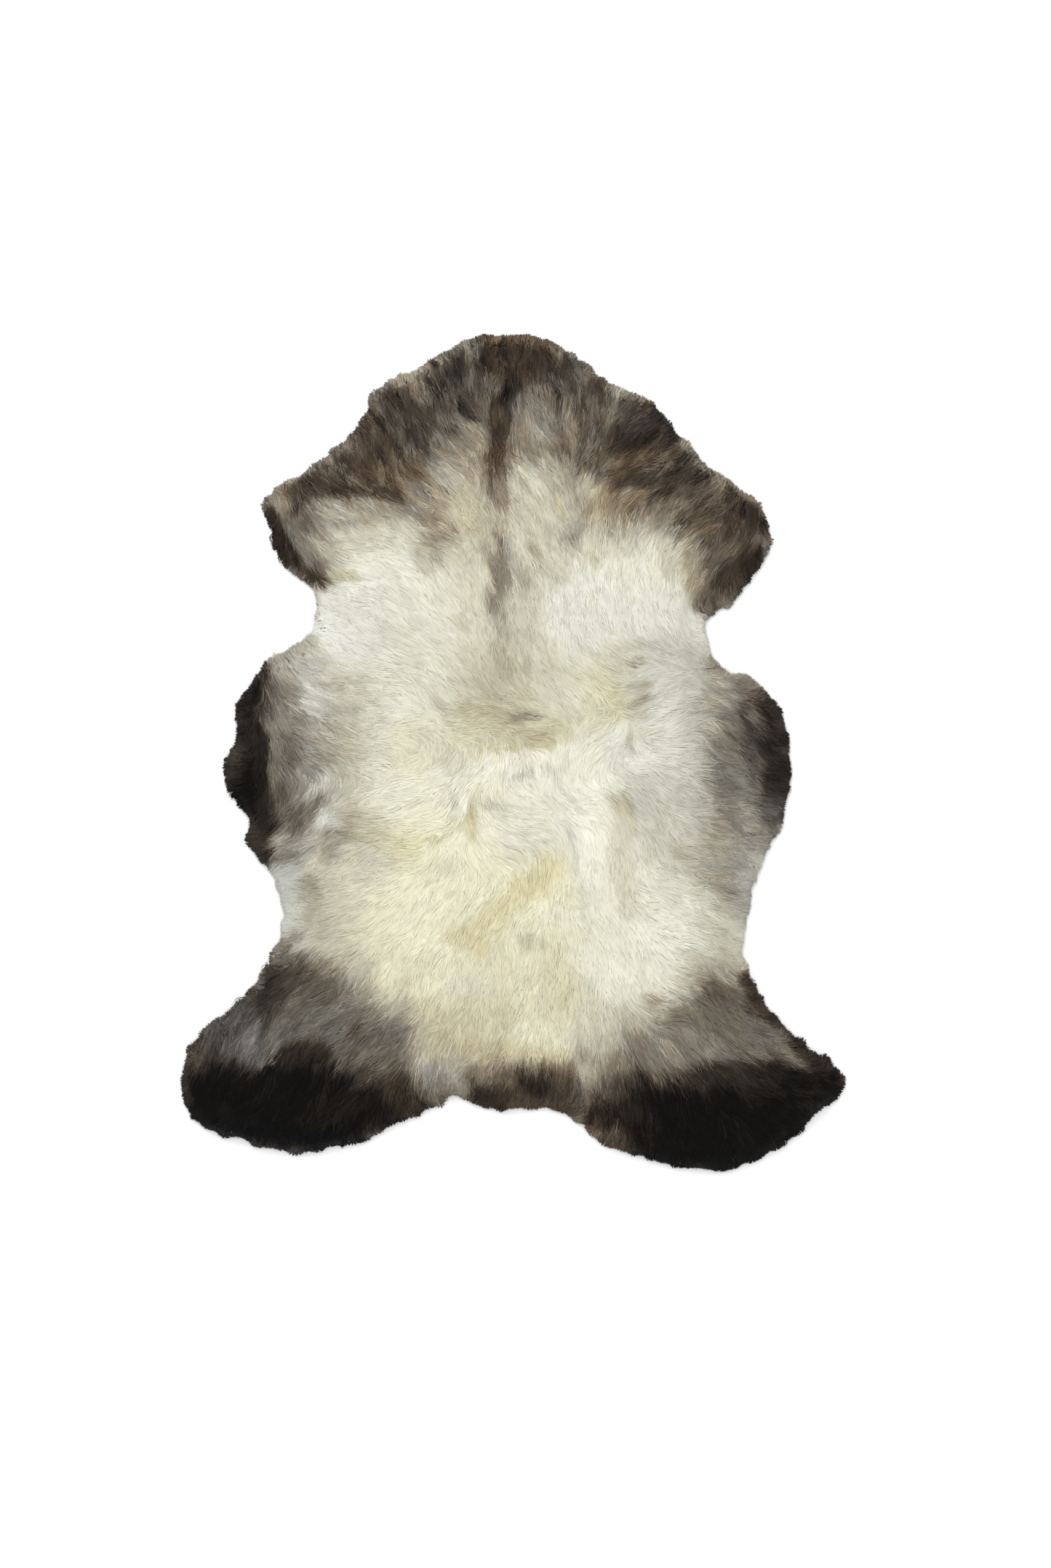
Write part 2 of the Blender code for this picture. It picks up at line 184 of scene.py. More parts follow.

# Tints of the wool, laid over each other in this order: the two ends of a soft stroke, its half width
# and the width of its soft edge in pixels, its pigment, its warmth and its strength. Some of them are
# painted shade, as the notes among them say.
TINTS = (
    # the back and the loin: chest
    (460, 840, 490, 870, 28, 30, 0.11, 0.05, 0.8), (500, 745, 560, 755, 20, 26, 0.1, 0.3, 0.8),
    (800, 840, 925, 850, 45, 45, 0.12, 0.2, 0.8), (840, 770, 900, 780, 26, 30, 0.1, 0.4, 0.7),
    # back
    (600, 930, 770, 955, 38, 45, 0.17, 0.45, 0.8), (826, 938, 840, 985, 22, 24, 0.21, 0.8, 0.85),
    (848, 900, 864, 945, 9, 20, 0.24, 0.45, 0.8), (690, 870, 720, 930, 22, 35, 0.2, 0.5, 0.7),
    # loin
    # The first stroke on the next line is painted shade under the tips of the wool above the loin's
    # raised lip.
    (650, 1016, 765, 1006, 13, 20, 0.24, 0.8, 0.85), (560, 1030, 600, 1035, 20, 30, 0.12, 0.8, 0.6),
    (650, 1065, 700, 1042, 18, 16, 0.05, 0.4, 0.9), (700, 1040, 790, 1045, 14, 14, 0.07, 0.45, 0.9),
    (622, 1080, 640, 1110, 18, 24, 0.06, 0.2, 0.8), (602, 1040, 626, 1054, 8, 18, 0.18, 0.3, 0.75),
    (664, 1098, 692, 1104, 7, 16, 0.19, 0.4, 0.8), (815, 1100, 818, 1165, 22, 26, 0.04, 0.35, 0.8),
    (850, 1015, 800, 1050, 10, 12, 0.06, 0.45, 0.8),
    # rump
    (494, 1168, 575, 1164, 14, 18, 0.25, 1.25, 0.9), (485, 1115, 500, 1150, 14, 16, 0.28, 0.55, 0.7),
    (570, 1210, 750, 1330, 76, 86, 0.1, 0.8, 0.72), (682, 1262, 757, 1188, 12, 20, 0.19, 1.05, 0.95),
    (690, 1166, 738, 1178, 8, 18, 0.16, 0.6, 0.7), (768, 1200, 766, 1400, 14, 26, 0.12, 0.8, 0.7),
    (480, 1310, 600, 1392, 30, 40, 0.14, 0.85, 0.65), (800, 1340, 880, 1365, 30, 30, 0.07, 0.3, 0.7),
    (850, 1240, 960, 1290, 30, 40, 0.09, 0.35, 0.6), (700, 1150, 745, 1158, 8, 18, 0.15, 0.3, 0.6),
    (600, 1420, 660, 1445, 16, 24, 0.2, 0.75, 0.8), (800, 1400, 810, 1470, 8, 14, 0.24, 0.4, 0.6),
    # right flank
    (880, 1020, 920, 1090, 40, 40, 0.14, 0.18, 0.8), (892, 1118, 948, 1170, 32, 34, 0.25, 0.3, 0.8),
    # grounds that run out past the rim: neck
    (590, 478, 812, 478, 58, 24, 0.82, 0.4, 1.0),
    # left shoulder
    (522, 560, 450, 612, 48, 22, 0.79, 0.5, 1.0), (450, 612, 372, 650, 42, 18, 0.74, 0.45, 1.0),
    # left foreleg
    (345, 680, 372, 770, 30, 16, 0.84, 0.5, 1.0),
    # left flank
    (300, 930, 290, 1170, 42, 18, 0.96, 0.45, 1.0),
    # left hind leg
    (330, 1322, 250, 1420, 42, 26, 0.84, 0.45, 1.0), (232, 1480, 300, 1592, 42, 22, 0.95, 0.3, 1.0),
    (300, 1592, 470, 1612, 48, 18, 1.0, 0.3, 1.0), (470, 1600, 590, 1550, 34, 16, 0.96, 0.4, 1.0),
    # tail
    (640, 1540, 775, 1545, 36, 16, 0.86, 0.65, 1.0),
    # right hind leg
    (790, 1570, 880, 1612, 34, 14, 0.7, 0.6, 1.0), (900, 1632, 1090, 1600, 44, 16, 1.0, 0.3, 1.0),
    (1100, 1580, 1170, 1520, 44, 18, 0.97, 0.3, 1.0), (1180, 1480, 1052, 1352, 30, 18, 0.89, 0.55, 1.0),
    # right flank
    (1104, 960, 1112, 1110, 34, 18, 0.98, 0.4, 1.0),
    # right foreleg
    (1052, 680, 1082, 780, 36, 18, 0.86, 0.5, 1.0), (1082, 780, 1020, 860, 34, 16, 0.86, 0.5, 1.0),
    # right shoulder
    (850, 512, 1020, 640, 36, 18, 0.76, 0.45, 1.0),
    # the broad colouring of the neck and the shoulders: neck
    (715, 536, 815, 542, 20, 28, 0.8, 0.4, 0.9), (596, 545, 650, 548, 24, 30, 0.8, 0.35, 0.9),
    (585, 582, 655, 585, 22, 32, 0.7, 0.4, 0.9), (715, 582, 780, 588, 20, 30, 0.6, 0.42, 0.9),
    (592, 622, 655, 625, 20, 34, 0.54, 0.45, 0.9), (715, 620, 790, 625, 18, 30, 0.54, 0.45, 0.9),
    (600, 664, 655, 668, 20, 36, 0.42, 0.35, 0.9), (715, 660, 765, 662, 18, 30, 0.34, 0.45, 0.9),
    (590, 706, 640, 712, 18, 30, 0.34, 0.5, 0.8), (715, 700, 770, 705, 22, 32, 0.27, 0.5, 0.85),
    (612, 742, 680, 745, 12, 26, 0.36, 0.45, 0.8),
    # spine
    (690, 545, 684, 640, 8, 20, 0.8, 0.55, 0.9), (682, 650, 681, 700, 2, 16, 0.6, 0.65, 0.9),
    (682, 690, 690, 745, 3, 12, 0.44, 0.5, 0.9), (690, 745, 687, 842, 3, 12, 0.42, 0.5, 0.9),
    # right shoulder
    (815, 600, 850, 600, 18, 24, 0.72, 0.5, 0.9), (800, 655, 815, 690, 16, 24, 0.55, 0.8, 0.9),
    (835, 655, 850, 680, 18, 24, 0.73, 0.7, 0.9), (872, 650, 890, 672, 22, 24, 0.82, 0.7, 0.9),
    (870, 700, 925, 704, 13, 22, 0.65, 0.85, 0.9), (835, 708, 850, 708, 10, 22, 0.48, 0.85, 0.85),
    (800, 728, 880, 724, 8, 22, 0.34, 0.45, 0.8), (942, 738, 958, 748, 7, 16, 0.54, 0.5, 0.85),
    # left foreleg
    (425, 698, 470, 704, 16, 24, 0.56, 0.5, 0.9),
    # below the left shoulder
    (480, 698, 600, 704, 10, 22, 0.43, 0.5, 0.85), (470, 742, 530, 745, 12, 26, 0.24, 0.4, 0.8),
    # the broad colouring of the back, the flanks and the rump: chest
    (636, 780, 645, 830, 16, 30, 0.23, 0.5, 0.8),
    # back
    (735, 893, 752, 922, 12, 20, 0.23, 0.45, 0.7),
    # chest
    (715, 810, 720, 870, 13, 28, 0.27, 0.4, 0.85), (500, 850, 540, 880, 20, 34, 0.15, 0.25, 0.7),
    (560, 800, 595, 850, 18, 34, 0.13, 0.35, 0.7),
    # back
    # The second stroke on the next line is painted shade along the trough across the back.
    (670, 930, 700, 985, 20, 32, 0.33, 0.6, 0.85), (640, 980, 715, 982, 9, 22, 0.31, 0.75, 0.8),
    (590, 1022, 640, 1022, 12, 26, 0.2, 0.6, 0.8), (915, 900, 965, 905, 12, 24, 0.26, 0.2, 0.85),
    (905, 940, 935, 945, 14, 26, 0.2, 0.15, 0.8),
    # left flank
    (480, 950, 478, 1040, 14, 28, 0.32, 0.4, 0.85), (520, 950, 515, 1020, 10, 26, 0.2, 0.4, 0.7),
    (478, 1060, 480, 1110, 12, 24, 0.29, 0.45, 0.8), (485, 1140, 500, 1150, 14, 24, 0.4, 0.6, 0.9),
    (520, 1140, 530, 1160, 10, 22, 0.26, 0.6, 0.8), (465, 1180, 510, 1188, 10, 26, 0.22, 0.3, 0.85),
    # waist
    (435, 1215, 440, 1265, 12, 26, 0.36, 0.45, 0.85), (475, 1235, 480, 1278, 12, 26, 0.24, 0.45, 0.8),
    # rump
    (560, 1385, 690, 1392, 15, 34, 0.23, 0.75, 0.85), (760, 1375, 800, 1380, 14, 30, 0.2, 0.6, 0.8),
    (648, 1292, 700, 1335, 14, 26, 0.18, 0.7, 0.75), (764, 1318, 776, 1362, 9, 20, 0.2, 0.8, 0.75),
    (566, 1404, 588, 1420, 8, 18, 0.42, 0.45, 0.8),
    # right hind leg
    (836, 1398, 884, 1392, 7, 16, 0.27, 0.5, 0.8),
    # rump
    (600, 1424, 690, 1430, 13, 28, 0.26, 0.7, 0.85), (600, 1462, 660, 1464, 10, 24, 0.39, 0.6, 0.9),
    # tail
    (690, 1467, 770, 1467, 8, 20, 0.52, 0.6, 0.9),
    # between the hind legs
    (600, 1498, 640, 1500, 12, 20, 0.62, 0.45, 0.95),
    # left hind leg
    (545, 1490, 570, 1510, 16, 18, 0.9, 0.5, 0.95),
    # right hind leg
    (830, 1495, 850, 1505, 18, 20, 0.84, 0.5, 0.95), (800, 1458, 850, 1462, 12, 24, 0.5, 0.5, 0.85),
    (930, 1466, 1010, 1470, 15, 20, 0.9, 0.4, 0.9), (900, 1500, 980, 1500, 16, 20, 0.95, 0.75, 0.9),
    # the neck
    (625, 505, 790, 508, 40, 20, 0.8, 0.5, 1.0), (600, 520, 618, 560, 20, 16, 0.86, 0.3, 0.9),
    (670, 495, 755, 500, 18, 20, 0.9, 0.75, 1.0), (665, 466, 755, 468, 7, 9, 0.76, 0.85, 0.9),
    (604, 490, 655, 471, 8, 9, 0.64, 0.3, 0.9), (768, 478, 828, 520, 8, 9, 0.66, 0.35, 0.9),
    (626, 512, 650, 520, 10, 10, 0.96, 0.2, 0.9), (610, 498, 628, 500, 5, 9, 0.74, 0.25, 0.8),
    (655, 528, 682, 552, 10, 14, 0.7, 0.3, 0.8), (604, 574, 612, 604, 10, 14, 0.87, 0.4, 0.9),
    (778, 502, 800, 510, 9, 9, 0.88, 0.2, 0.8), (764, 534, 842, 550, 16, 14, 0.88, 0.3, 0.95),
    (653, 470, 656, 496, 4, 8, 0.7, 0.3, 0.85), (584, 508, 594, 520, 5, 8, 0.66, 0.3, 0.8),
    (634, 498, 642, 514, 4, 7, 0.9, 0.3, 0.8), (797, 518, 808, 526, 5, 8, 0.76, 0.3, 0.8),
    (711, 538, 719, 556, 5, 8, 0.85, 0.4, 0.8),
    # the left shoulder
    (560, 560, 532, 652, 40, 18, 0.83, 0.6, 1.0), (592, 545, 600, 604, 18, 18, 0.86, 0.4, 0.9),
    (490, 652, 425, 670, 22, 12, 0.8, 0.45, 1.0), (478, 606, 440, 630, 7, 8, 0.6, 0.4, 0.8),
    (420, 646, 378, 670, 8, 8, 0.55, 0.4, 0.8), (540, 522, 580, 507, 9, 8, 0.42, 0.45, 0.95),
    (575, 520, 580, 552, 6, 12, 0.62, 0.4, 0.7), (507, 545, 516, 548, 5, 8, 0.6, 0.2, 0.8),
    (505, 570, 528, 650, 14, 14, 0.87, 0.6, 0.85), (534, 600, 540, 636, 3, 8, 0.76, 0.9, 0.6),
    (550, 560, 570, 612, 11, 13, 0.85, 0.25, 0.9), (530, 553, 562, 572, 10, 12, 0.86, 0.4, 0.8),
    (450, 678, 490, 684, 5, 7, 0.9, 0.5, 0.8), (584, 592, 602, 600, 6, 9, 0.88, 0.55, 0.8),
    (500, 655, 560, 676, 8, 11, 0.8, 0.85, 0.8), (566, 640, 574, 666, 11, 12, 0.75, 0.75, 0.9),
    (516, 649, 546, 653, 5, 9, 0.85, 0.75, 0.8), (568, 586, 578, 594, 5, 8, 0.78, 0.4, 0.8),
    (514, 538, 528, 532, 5, 8, 0.55, 0.2, 0.85),
    # below the left shoulder
    (568, 686, 588, 690, 5, 8, 0.58, 0.5, 0.85),
    # left shoulder
    (556, 667, 572, 672, 5, 8, 0.74, 0.75, 0.85),
    # below the left shoulder
    (486, 698, 542, 700, 5, 8, 0.46, 0.45, 0.85),
    # left shoulder
    (516, 556, 526, 566, 5, 8, 0.68, 0.3, 0.8),
    # beside the spine
    (628, 574, 656, 580, 10, 14, 0.78, 0.3, 0.9), (608, 602, 660, 612, 13, 15, 0.58, 0.4, 0.9),
    (636, 648, 654, 690, 12, 20, 0.36, 0.65, 0.8), (612, 652, 620, 672, 8, 14, 0.46, 0.4, 0.8),
    (600, 622, 650, 642, 3, 6, 0.46, 0.6, 0.6), (600, 584, 622, 592, 6, 9, 0.8, 0.3, 0.85),
    (661, 626, 664, 652, 4, 8, 0.5, 0.5, 0.85),
    # below the left shoulder
    (445, 707, 512, 717, 8, 13, 0.47, 0.5, 0.85), (606, 704, 650, 708, 12, 16, 0.3, 0.7, 0.7),
    # the spine
    (703, 533, 700, 556, 9, 10, 0.95, 0.35, 1.0), (691, 562, 688, 620, 12, 9, 0.87, 0.6, 1.0),
    (684, 618, 683, 655, 7, 10, 0.76, 0.75, 0.9), (683, 655, 687, 694, 7, 9, 0.7, 0.65, 0.9),
    (684, 700, 688, 722, 5, 10, 0.36, 0.5, 0.8), (690, 724, 693, 768, 6, 9, 0.58, 0.2, 0.85),
    (668, 756, 682, 780, 6, 9, 0.38, 0.7, 0.8), (688, 772, 694, 812, 6, 11, 0.56, 0.4, 0.85),
    (702, 772, 724, 800, 7, 12, 0.44, 0.4, 0.8), (680, 818, 684, 846, 7, 11, 0.48, 0.4, 0.85),
    (688, 848, 700, 890, 3, 9, 0.36, 0.45, 0.85),
    # back
    (704, 885, 716, 925, 9, 15, 0.29, 0.5, 0.8),
    # spine
    (685, 898, 700, 918, 8, 10, 0.38, 0.55, 0.8), (690, 752, 687, 836, 1, 6, 0.6, 0.4, 0.6),
    (698, 634, 700, 648, 4, 7, 0.6, 0.4, 0.8), (683, 678, 687, 692, 5, 7, 0.68, 0.65, 0.8),
    # the right side of the neck and the right shoulder: neck
    (744, 574, 800, 606, 22, 20, 0.52, 0.45, 0.9), (720, 560, 738, 590, 11, 15, 0.52, 0.3, 0.85),
    (728, 612, 765, 628, 13, 18, 0.57, 0.42, 0.85), (762, 622, 788, 648, 10, 14, 0.66, 0.5, 0.9),
    (780, 662, 786, 706, 8, 16, 0.48, 0.5, 0.85), (764, 560, 800, 566, 6, 10, 0.74, 0.3, 0.85),
    (738, 592, 756, 602, 8, 10, 0.44, 0.35, 0.8), (786, 646, 792, 666, 6, 9, 0.6, 0.5, 0.85),
    (788, 580, 790, 612, 5, 10, 0.54, 0.45, 0.8),
    # right shoulder
    (812, 560, 850, 562, 16, 16, 0.8, 0.4, 0.95), (810, 592, 834, 625, 18, 16, 0.75, 0.45, 0.95),
    (856, 602, 884, 608, 14, 12, 0.9, 0.35, 0.9), (888, 572, 916, 592, 17, 13, 0.92, 0.4, 1.0),
    (840, 533, 893, 549, 6, 8, 0.54, 0.45, 0.9), (864, 561, 886, 561, 7, 9, 0.78, 0.45, 0.8),
    (864, 580, 886, 596, 9, 11, 0.84, 0.2, 0.8), (890, 628, 922, 632, 20, 14, 0.89, 0.5, 1.0),
    (846, 647, 902, 641, 13, 11, 0.75, 0.85, 0.95), (848, 664, 888, 660, 9, 10, 0.92, 0.7, 0.95),
    (838, 686, 866, 680, 5, 9, 0.7, 0.9, 0.85), (824, 644, 848, 662, 8, 12, 0.7, 0.7, 0.85),
    (905, 664, 958, 672, 23, 14, 0.84, 0.55, 1.0), (945, 611, 988, 655, 6, 8, 0.58, 0.4, 0.9),
    (960, 668, 986, 694, 14, 13, 0.89, 0.55, 0.95),
    # below the right shoulder
    (742, 676, 760, 760, 26, 28, 0.26, 0.5, 0.8), (800, 636, 826, 650, 8, 10, 0.72, 0.4, 0.85),
    (799, 662, 803, 690, 5, 6, 0.36, 0.4, 0.85), (812, 676, 835, 685, 8, 8, 0.54, 0.8, 0.85),
    (852, 691, 888, 684, 8, 10, 0.6, 1.0, 0.85), (848, 669, 884, 667, 5, 8, 0.9, 0.5, 0.85),
    (780, 672, 784, 706, 8, 10, 0.43, 0.5, 0.85), (842, 709, 880, 705, 7, 10, 0.52, 0.7, 0.8),
    (874, 704, 902, 704, 6, 10, 0.78, 0.7, 0.9), (900, 684, 950, 684, 7, 11, 0.85, 0.5, 0.9),
    (905, 702, 958, 702, 6, 11, 0.67, 0.45, 0.9), (924, 734, 962, 722, 8, 9, 0.78, 0.5, 0.9),
    # right foreleg
    (918, 738, 922, 784, 7, 14, 0.28, 0.4, 0.8), (940, 752, 944, 772, 5, 12, 0.42, 0.7, 0.8),
    # below the right shoulder
    (880, 716, 915, 724, 7, 12, 0.44, 0.45, 0.7), (722, 667, 730, 675, 4, 6, 0.46, 0.4, 0.8),
    (725, 752, 738, 766, 5, 7, 0.42, 0.7, 0.8), (780, 744, 796, 729, 5, 9, 0.52, 0.35, 0.8),
    (812, 766, 822, 772, 4, 8, 0.34, 0.6, 0.8), (742, 780, 762, 800, 6, 12, 0.27, 0.4, 0.7),
    # the swirl beside the spine
    (565, 704, 600, 722, 4, 7, 0.52, 0.4, 0.8), (590, 742, 622, 735, 7, 10, 0.47, 0.7, 0.8),
    (640, 725, 662, 735, 7, 10, 0.34, 0.8, 0.8), (598, 748, 603, 772, 5, 8, 0.46, 0.5, 0.8),
    (578, 765, 590, 786, 5, 8, 0.4, 0.4, 0.8), (572, 752, 586, 757, 3, 6, 0.3, 0.7, 0.7),
    (625, 855, 640, 862, 3, 6, 0.26, 0.6, 0.7),
    # the left foreleg
    (404, 700, 432, 740, 20, 12, 0.64, 0.35, 1.0), (416, 752, 436, 784, 11, 13, 0.54, 0.4, 0.95),
    (368, 686, 388, 672, 9, 9, 0.6, 0.3, 0.9), (402, 690, 430, 668, 14, 9, 0.92, 0.5, 0.95),
    (364, 688, 368, 702, 5, 6, 0.7, 0.4, 0.9), (374, 712, 386, 745, 10, 9, 0.92, 0.5, 1.0),
    (390, 755, 406, 790, 11, 10, 0.93, 0.5, 1.0), (426, 790, 442, 802, 7, 9, 0.88, 0.6, 0.9),
    (440, 710, 480, 713, 7, 10, 0.52, 0.45, 0.8), (430, 704, 436, 742, 5, 9, 0.66, 0.4, 0.85),
    (378, 690, 392, 698, 6, 8, 0.55, 0.4, 0.85), (444, 738, 460, 768, 8, 14, 0.38, 0.4, 0.8),
    # left armpit
    (460, 794, 490, 792, 4, 6, 0.32, 0.8, 0.8), (437, 815, 434, 850, 1, 5, 0.34, 0.3, 0.7),
    (400, 896, 428, 884, 8, 9, 0.42, 0.45, 0.85),
    # the left flank
    (368, 918, 404, 912, 13, 16, 0.52, 0.2, 0.95), (376, 950, 382, 976, 13, 12, 0.74, 0.15, 0.95),
    (402, 946, 406, 990, 9, 14, 0.58, 0.3, 0.9), (432, 940, 436, 985, 12, 16, 0.31, 0.1, 0.9),
    (412, 907, 446, 909, 7, 14, 0.33, 0.2, 0.8), (456, 942, 460, 966, 10, 12, 0.24, 0.3, 0.7),
    (396, 1012, 402, 1130, 16, 24, 0.7, 0.25, 1.0), (450, 1040, 480, 1022, 8, 10, 0.32, 0.75, 0.8),
    (462, 982, 486, 986, 5, 10, 0.3, 0.3, 0.8), (441, 1045, 436, 1070, 5, 9, 0.6, 0.45, 0.8),
    (446, 1100, 428, 1124, 5, 9, 0.66, 0.45, 0.8), (462, 1140, 454, 1172, 9, 12, 0.5, 0.4, 0.85),
    (428, 1140, 432, 1165, 5, 12, 0.5, 0.3, 0.8), (444, 1116, 462, 1130, 7, 7, 0.18, 0.3, 0.85),
    (442, 1005, 438, 1045, 11, 22, 0.5, 0.4, 0.8), (430, 1060, 434, 1100, 9, 20, 0.5, 0.15, 0.85),
    (458, 1074, 468, 1090, 5, 7, 0.27, 0.3, 0.8), (392, 1138, 402, 1166, 10, 14, 0.56, 0.25, 0.9),
    (374, 1192, 404, 1188, 9, 12, 0.61, 0.25, 0.9), (375, 1186, 388, 1200, 8, 12, 0.72, 0.3, 0.95),
    (354, 922, 344, 960, 12, 11, 0.94, 0.5, 1.0), (338, 960, 337, 1050, 21, 17, 0.95, 0.45, 1.0),
    (342, 1070, 354, 1128, 24, 16, 1.0, 0.45, 1.0), (350, 1140, 358, 1174, 14, 11, 0.9, 0.4, 1.0),
    (366, 1082, 372, 1126, 4, 8, 0.95, 0.3, 0.9), (360, 1004, 365, 1130, 7, 8, 0.96, 0.35, 0.95),
    (330, 1030, 329, 1066, 5, 9, 0.89, 0.4, 0.6), (318, 1030, 314, 1080, 4, 9, 0.88, 0.1, 0.85),
    (376, 994, 396, 1000, 7, 9, 0.5, 0.35, 0.85), (384, 1152, 424, 1166, 8, 9, 0.41, 0.2, 0.85),
    # The thin pale strokes from here to the waist are streaks of wool; the thin dark ones at their ends
    # are painted shadow under the tips.
    (424, 946, 458, 958, 2, 4, 0.12, 0.1, 0.8), (420, 962, 450, 975, 2, 4, 0.14, 0.1, 0.8),
    (418, 976, 446, 990, 2, 4, 0.16, 0.1, 0.75), (442, 942, 458, 947, 1, 4, 0.42, 0.3, 0.8),
    (424, 989, 442, 994, 1, 4, 0.5, 0.2, 0.8), (432, 1084, 452, 1066, 2, 5, 0.2, 0.25, 0.8),
    (424, 1096, 446, 1082, 2, 4, 0.24, 0.2, 0.8), (428, 1118, 440, 1098, 2, 5, 0.66, 0.15, 0.8),
    (444, 1112, 452, 1128, 3, 5, 0.12, 0.15, 0.85), (458, 1118, 464, 1130, 2, 4, 0.14, 0.15, 0.8),
    # the waist
    (396, 1212, 402, 1282, 22, 12, 0.25, 0.0, 0.95), (424, 1212, 430, 1236, 8, 10, 0.46, 0.55, 0.85),
    (430, 1264, 442, 1282, 16, 16, 0.28, 0.5, 0.8), (405, 1284, 410, 1290, 4, 6, 0.55, 0.5, 0.8),
    (446, 1290, 505, 1320, 8, 16, 0.3, 0.45, 0.75), (424, 1308, 438, 1316, 5, 9, 0.39, 0.1, 0.8),
    (520, 1384, 545, 1376, 8, 16, 0.42, 0.3, 0.75),
    # the right flank
    (964, 950, 966, 1140, 14, 26, 0.29, 0.25, 0.95), (1004, 985, 1004, 1080, 17, 24, 0.63, 0.25, 1.0),
    (1006, 1090, 1014, 1220, 18, 24, 0.43, 0.15, 0.9), (984, 925, 990, 960, 9, 16, 0.47, 0.35, 0.85),
    (984, 908, 996, 925, 5, 7, 0.6, 0.4, 0.85), (1004, 928, 1018, 932, 6, 8, 0.43, 0.4, 0.9),
    (1030, 970, 1036, 1004, 9, 13, 0.85, 0.3, 0.9), (1048, 958, 1060, 976, 10, 9, 0.88, 0.4, 1.0),
    (1028, 938, 1036, 944, 6, 8, 0.66, 0.3, 0.95), (1038, 950, 1046, 954, 5, 7, 0.74, 0.3, 0.85),
    (1068, 985, 1073, 1060, 17, 12, 0.93, 0.4, 1.0), (1067, 1060, 1063, 1112, 16, 11, 0.92, 0.4, 1.0),
    (1060, 1114, 1050, 1150, 11, 13, 0.77, 0.1, 0.95), (1030, 1015, 1036, 1060, 8, 12, 0.8, 0.15, 0.85),
    (990, 1098, 1000, 1122, 6, 10, 0.6, 0.4, 0.8), (1000, 1058, 1002, 1084, 8, 14, 0.64, 0.2, 0.8),
    (1034, 1078, 1039, 1102, 5, 9, 0.74, 0.1, 0.8), (980, 1142, 1008, 1160, 13, 14, 0.43, 0.4, 0.9),
    (1022, 1132, 1046, 1160, 11, 14, 0.47, 0.2, 0.9), (974, 1185, 998, 1236, 13, 18, 0.44, 0.35, 0.85),
    (928, 1165, 958, 1180, 6, 12, 0.32, 0.4, 0.8), (1002, 1240, 1020, 1258, 8, 12, 0.46, 0.55, 0.8),
    # waist
    (1030, 1190, 1018, 1270, 8, 10, 0.37, 0.15, 0.9), (980, 1270, 1012, 1310, 16, 20, 0.24, 0.4, 0.85),
    # small marks on the back; the first, the second and the fourth are painted shade: in the trough
    # across the back, under the tips above the loin's lip, and in the crease below it
    (705, 988, 742, 984, 3, 6, 0.5, 0.6, 0.9), (734, 1016, 750, 1008, 2, 5, 0.46, 0.8, 0.8),
    (778, 988, 796, 988, 2, 5, 0.34, 0.6, 0.8), (712, 1067, 722, 1063, 2, 4, 0.5, 0.5, 0.9),
    (868, 914, 880, 908, 3, 6, 0.46, 0.5, 0.9), (866, 971, 888, 960, 4, 6, 0.48, 0.6, 0.9),
    (872, 948, 890, 941, 3, 7, 0.38, 0.5, 0.8), (865, 982, 886, 980, 5, 12, 0.26, 0.4, 0.75),
    (860, 893, 880, 888, 3, 6, 0.34, 0.4, 0.7), (868, 1008, 864, 1034, 2, 5, 0.34, 0.3, 0.8),
    # right flank
    (874, 1004, 892, 1014, 6, 10, 0.2, 0.4, 0.7),
    # grey spots on the loin, and painted shade in the olive strokes beside the white ridge there
    (622, 1103, 628, 1105, 2, 4, 0.36, 0.1, 0.8), (656, 1094, 651, 1120, 2, 5, 0.34, 1.0, 0.9),
    (650, 1120, 648, 1148, 2, 5, 0.3, 1.05, 0.85), (656, 1094, 668, 1087, 1, 4, 0.3, 1.0, 0.9),
    (668, 1087, 684, 1089, 1, 4, 0.28, 1.0, 0.85), (670, 1100, 677, 1108, 2, 6, 0.32, 0.2, 0.75),
    (668, 1094, 669, 1102, 1, 4, 0.3, 0.7, 0.8),
    # tuft
    (645, 1070, 639, 1112, 3, 6, 0.02, 0.3, 0.9), (690, 1052, 655, 1074, 3, 8, 0.03, 0.35, 0.8),
    # painted shade under the tips of the wool above the loin's raised lip, and a pale stroke along the
    # lip below
    (666, 1036, 712, 1024, 2, 5, 0.34, 1.1, 0.85), (712, 1024, 762, 1022, 2, 5, 0.29, 1.0, 0.85),
    (720, 1020, 754, 1004, 1, 5, 0.38, 0.8, 0.8), (672, 1040, 790, 1036, 4, 6, 0.05, 0.35, 0.8),
    # painted shade in the crease across the loin and in the parting down the rump, and a pale stroke
    # beside the parting
    (652, 1084, 690, 1070, 1, 5, 0.2, 0.6, 0.7), (690, 1070, 735, 1061, 1, 4, 0.3, 0.2, 0.8),
    (735, 1061, 764, 1058, 1, 4, 0.28, 0.1, 0.75), (780, 1092, 794, 1112, 3, 7, 0.15, 0.15, 0.7),
    (783, 1135, 795, 1195, 2, 6, 0.17, 0.3, 0.75), (795, 1195, 803, 1260, 2, 6, 0.13, 0.3, 0.7),
    (803, 1260, 805, 1480, 1, 5, 0.14, 0.4, 0.6), (797, 1140, 806, 1200, 4, 8, 0.03, 0.35, 0.8),
    # painted shade, an olive stroke on the loin
    (624, 1130, 648, 1136, 4, 8, 0.22, 0.9, 0.8),
    # curls: pale strokes of curled wool, and painted shade in the olive strokes beside them
    (594, 1151, 606, 1155, 3, 6, 0.28, 0.7, 0.8), (586, 1163, 596, 1170, 2, 4, 0.05, 0.5, 0.8),
    (600, 1064, 624, 1074, 2, 5, 0.02, 0.2, 0.8), (598, 1074, 618, 1082, 2, 5, 0.2, 0.8, 0.7),
    # mark
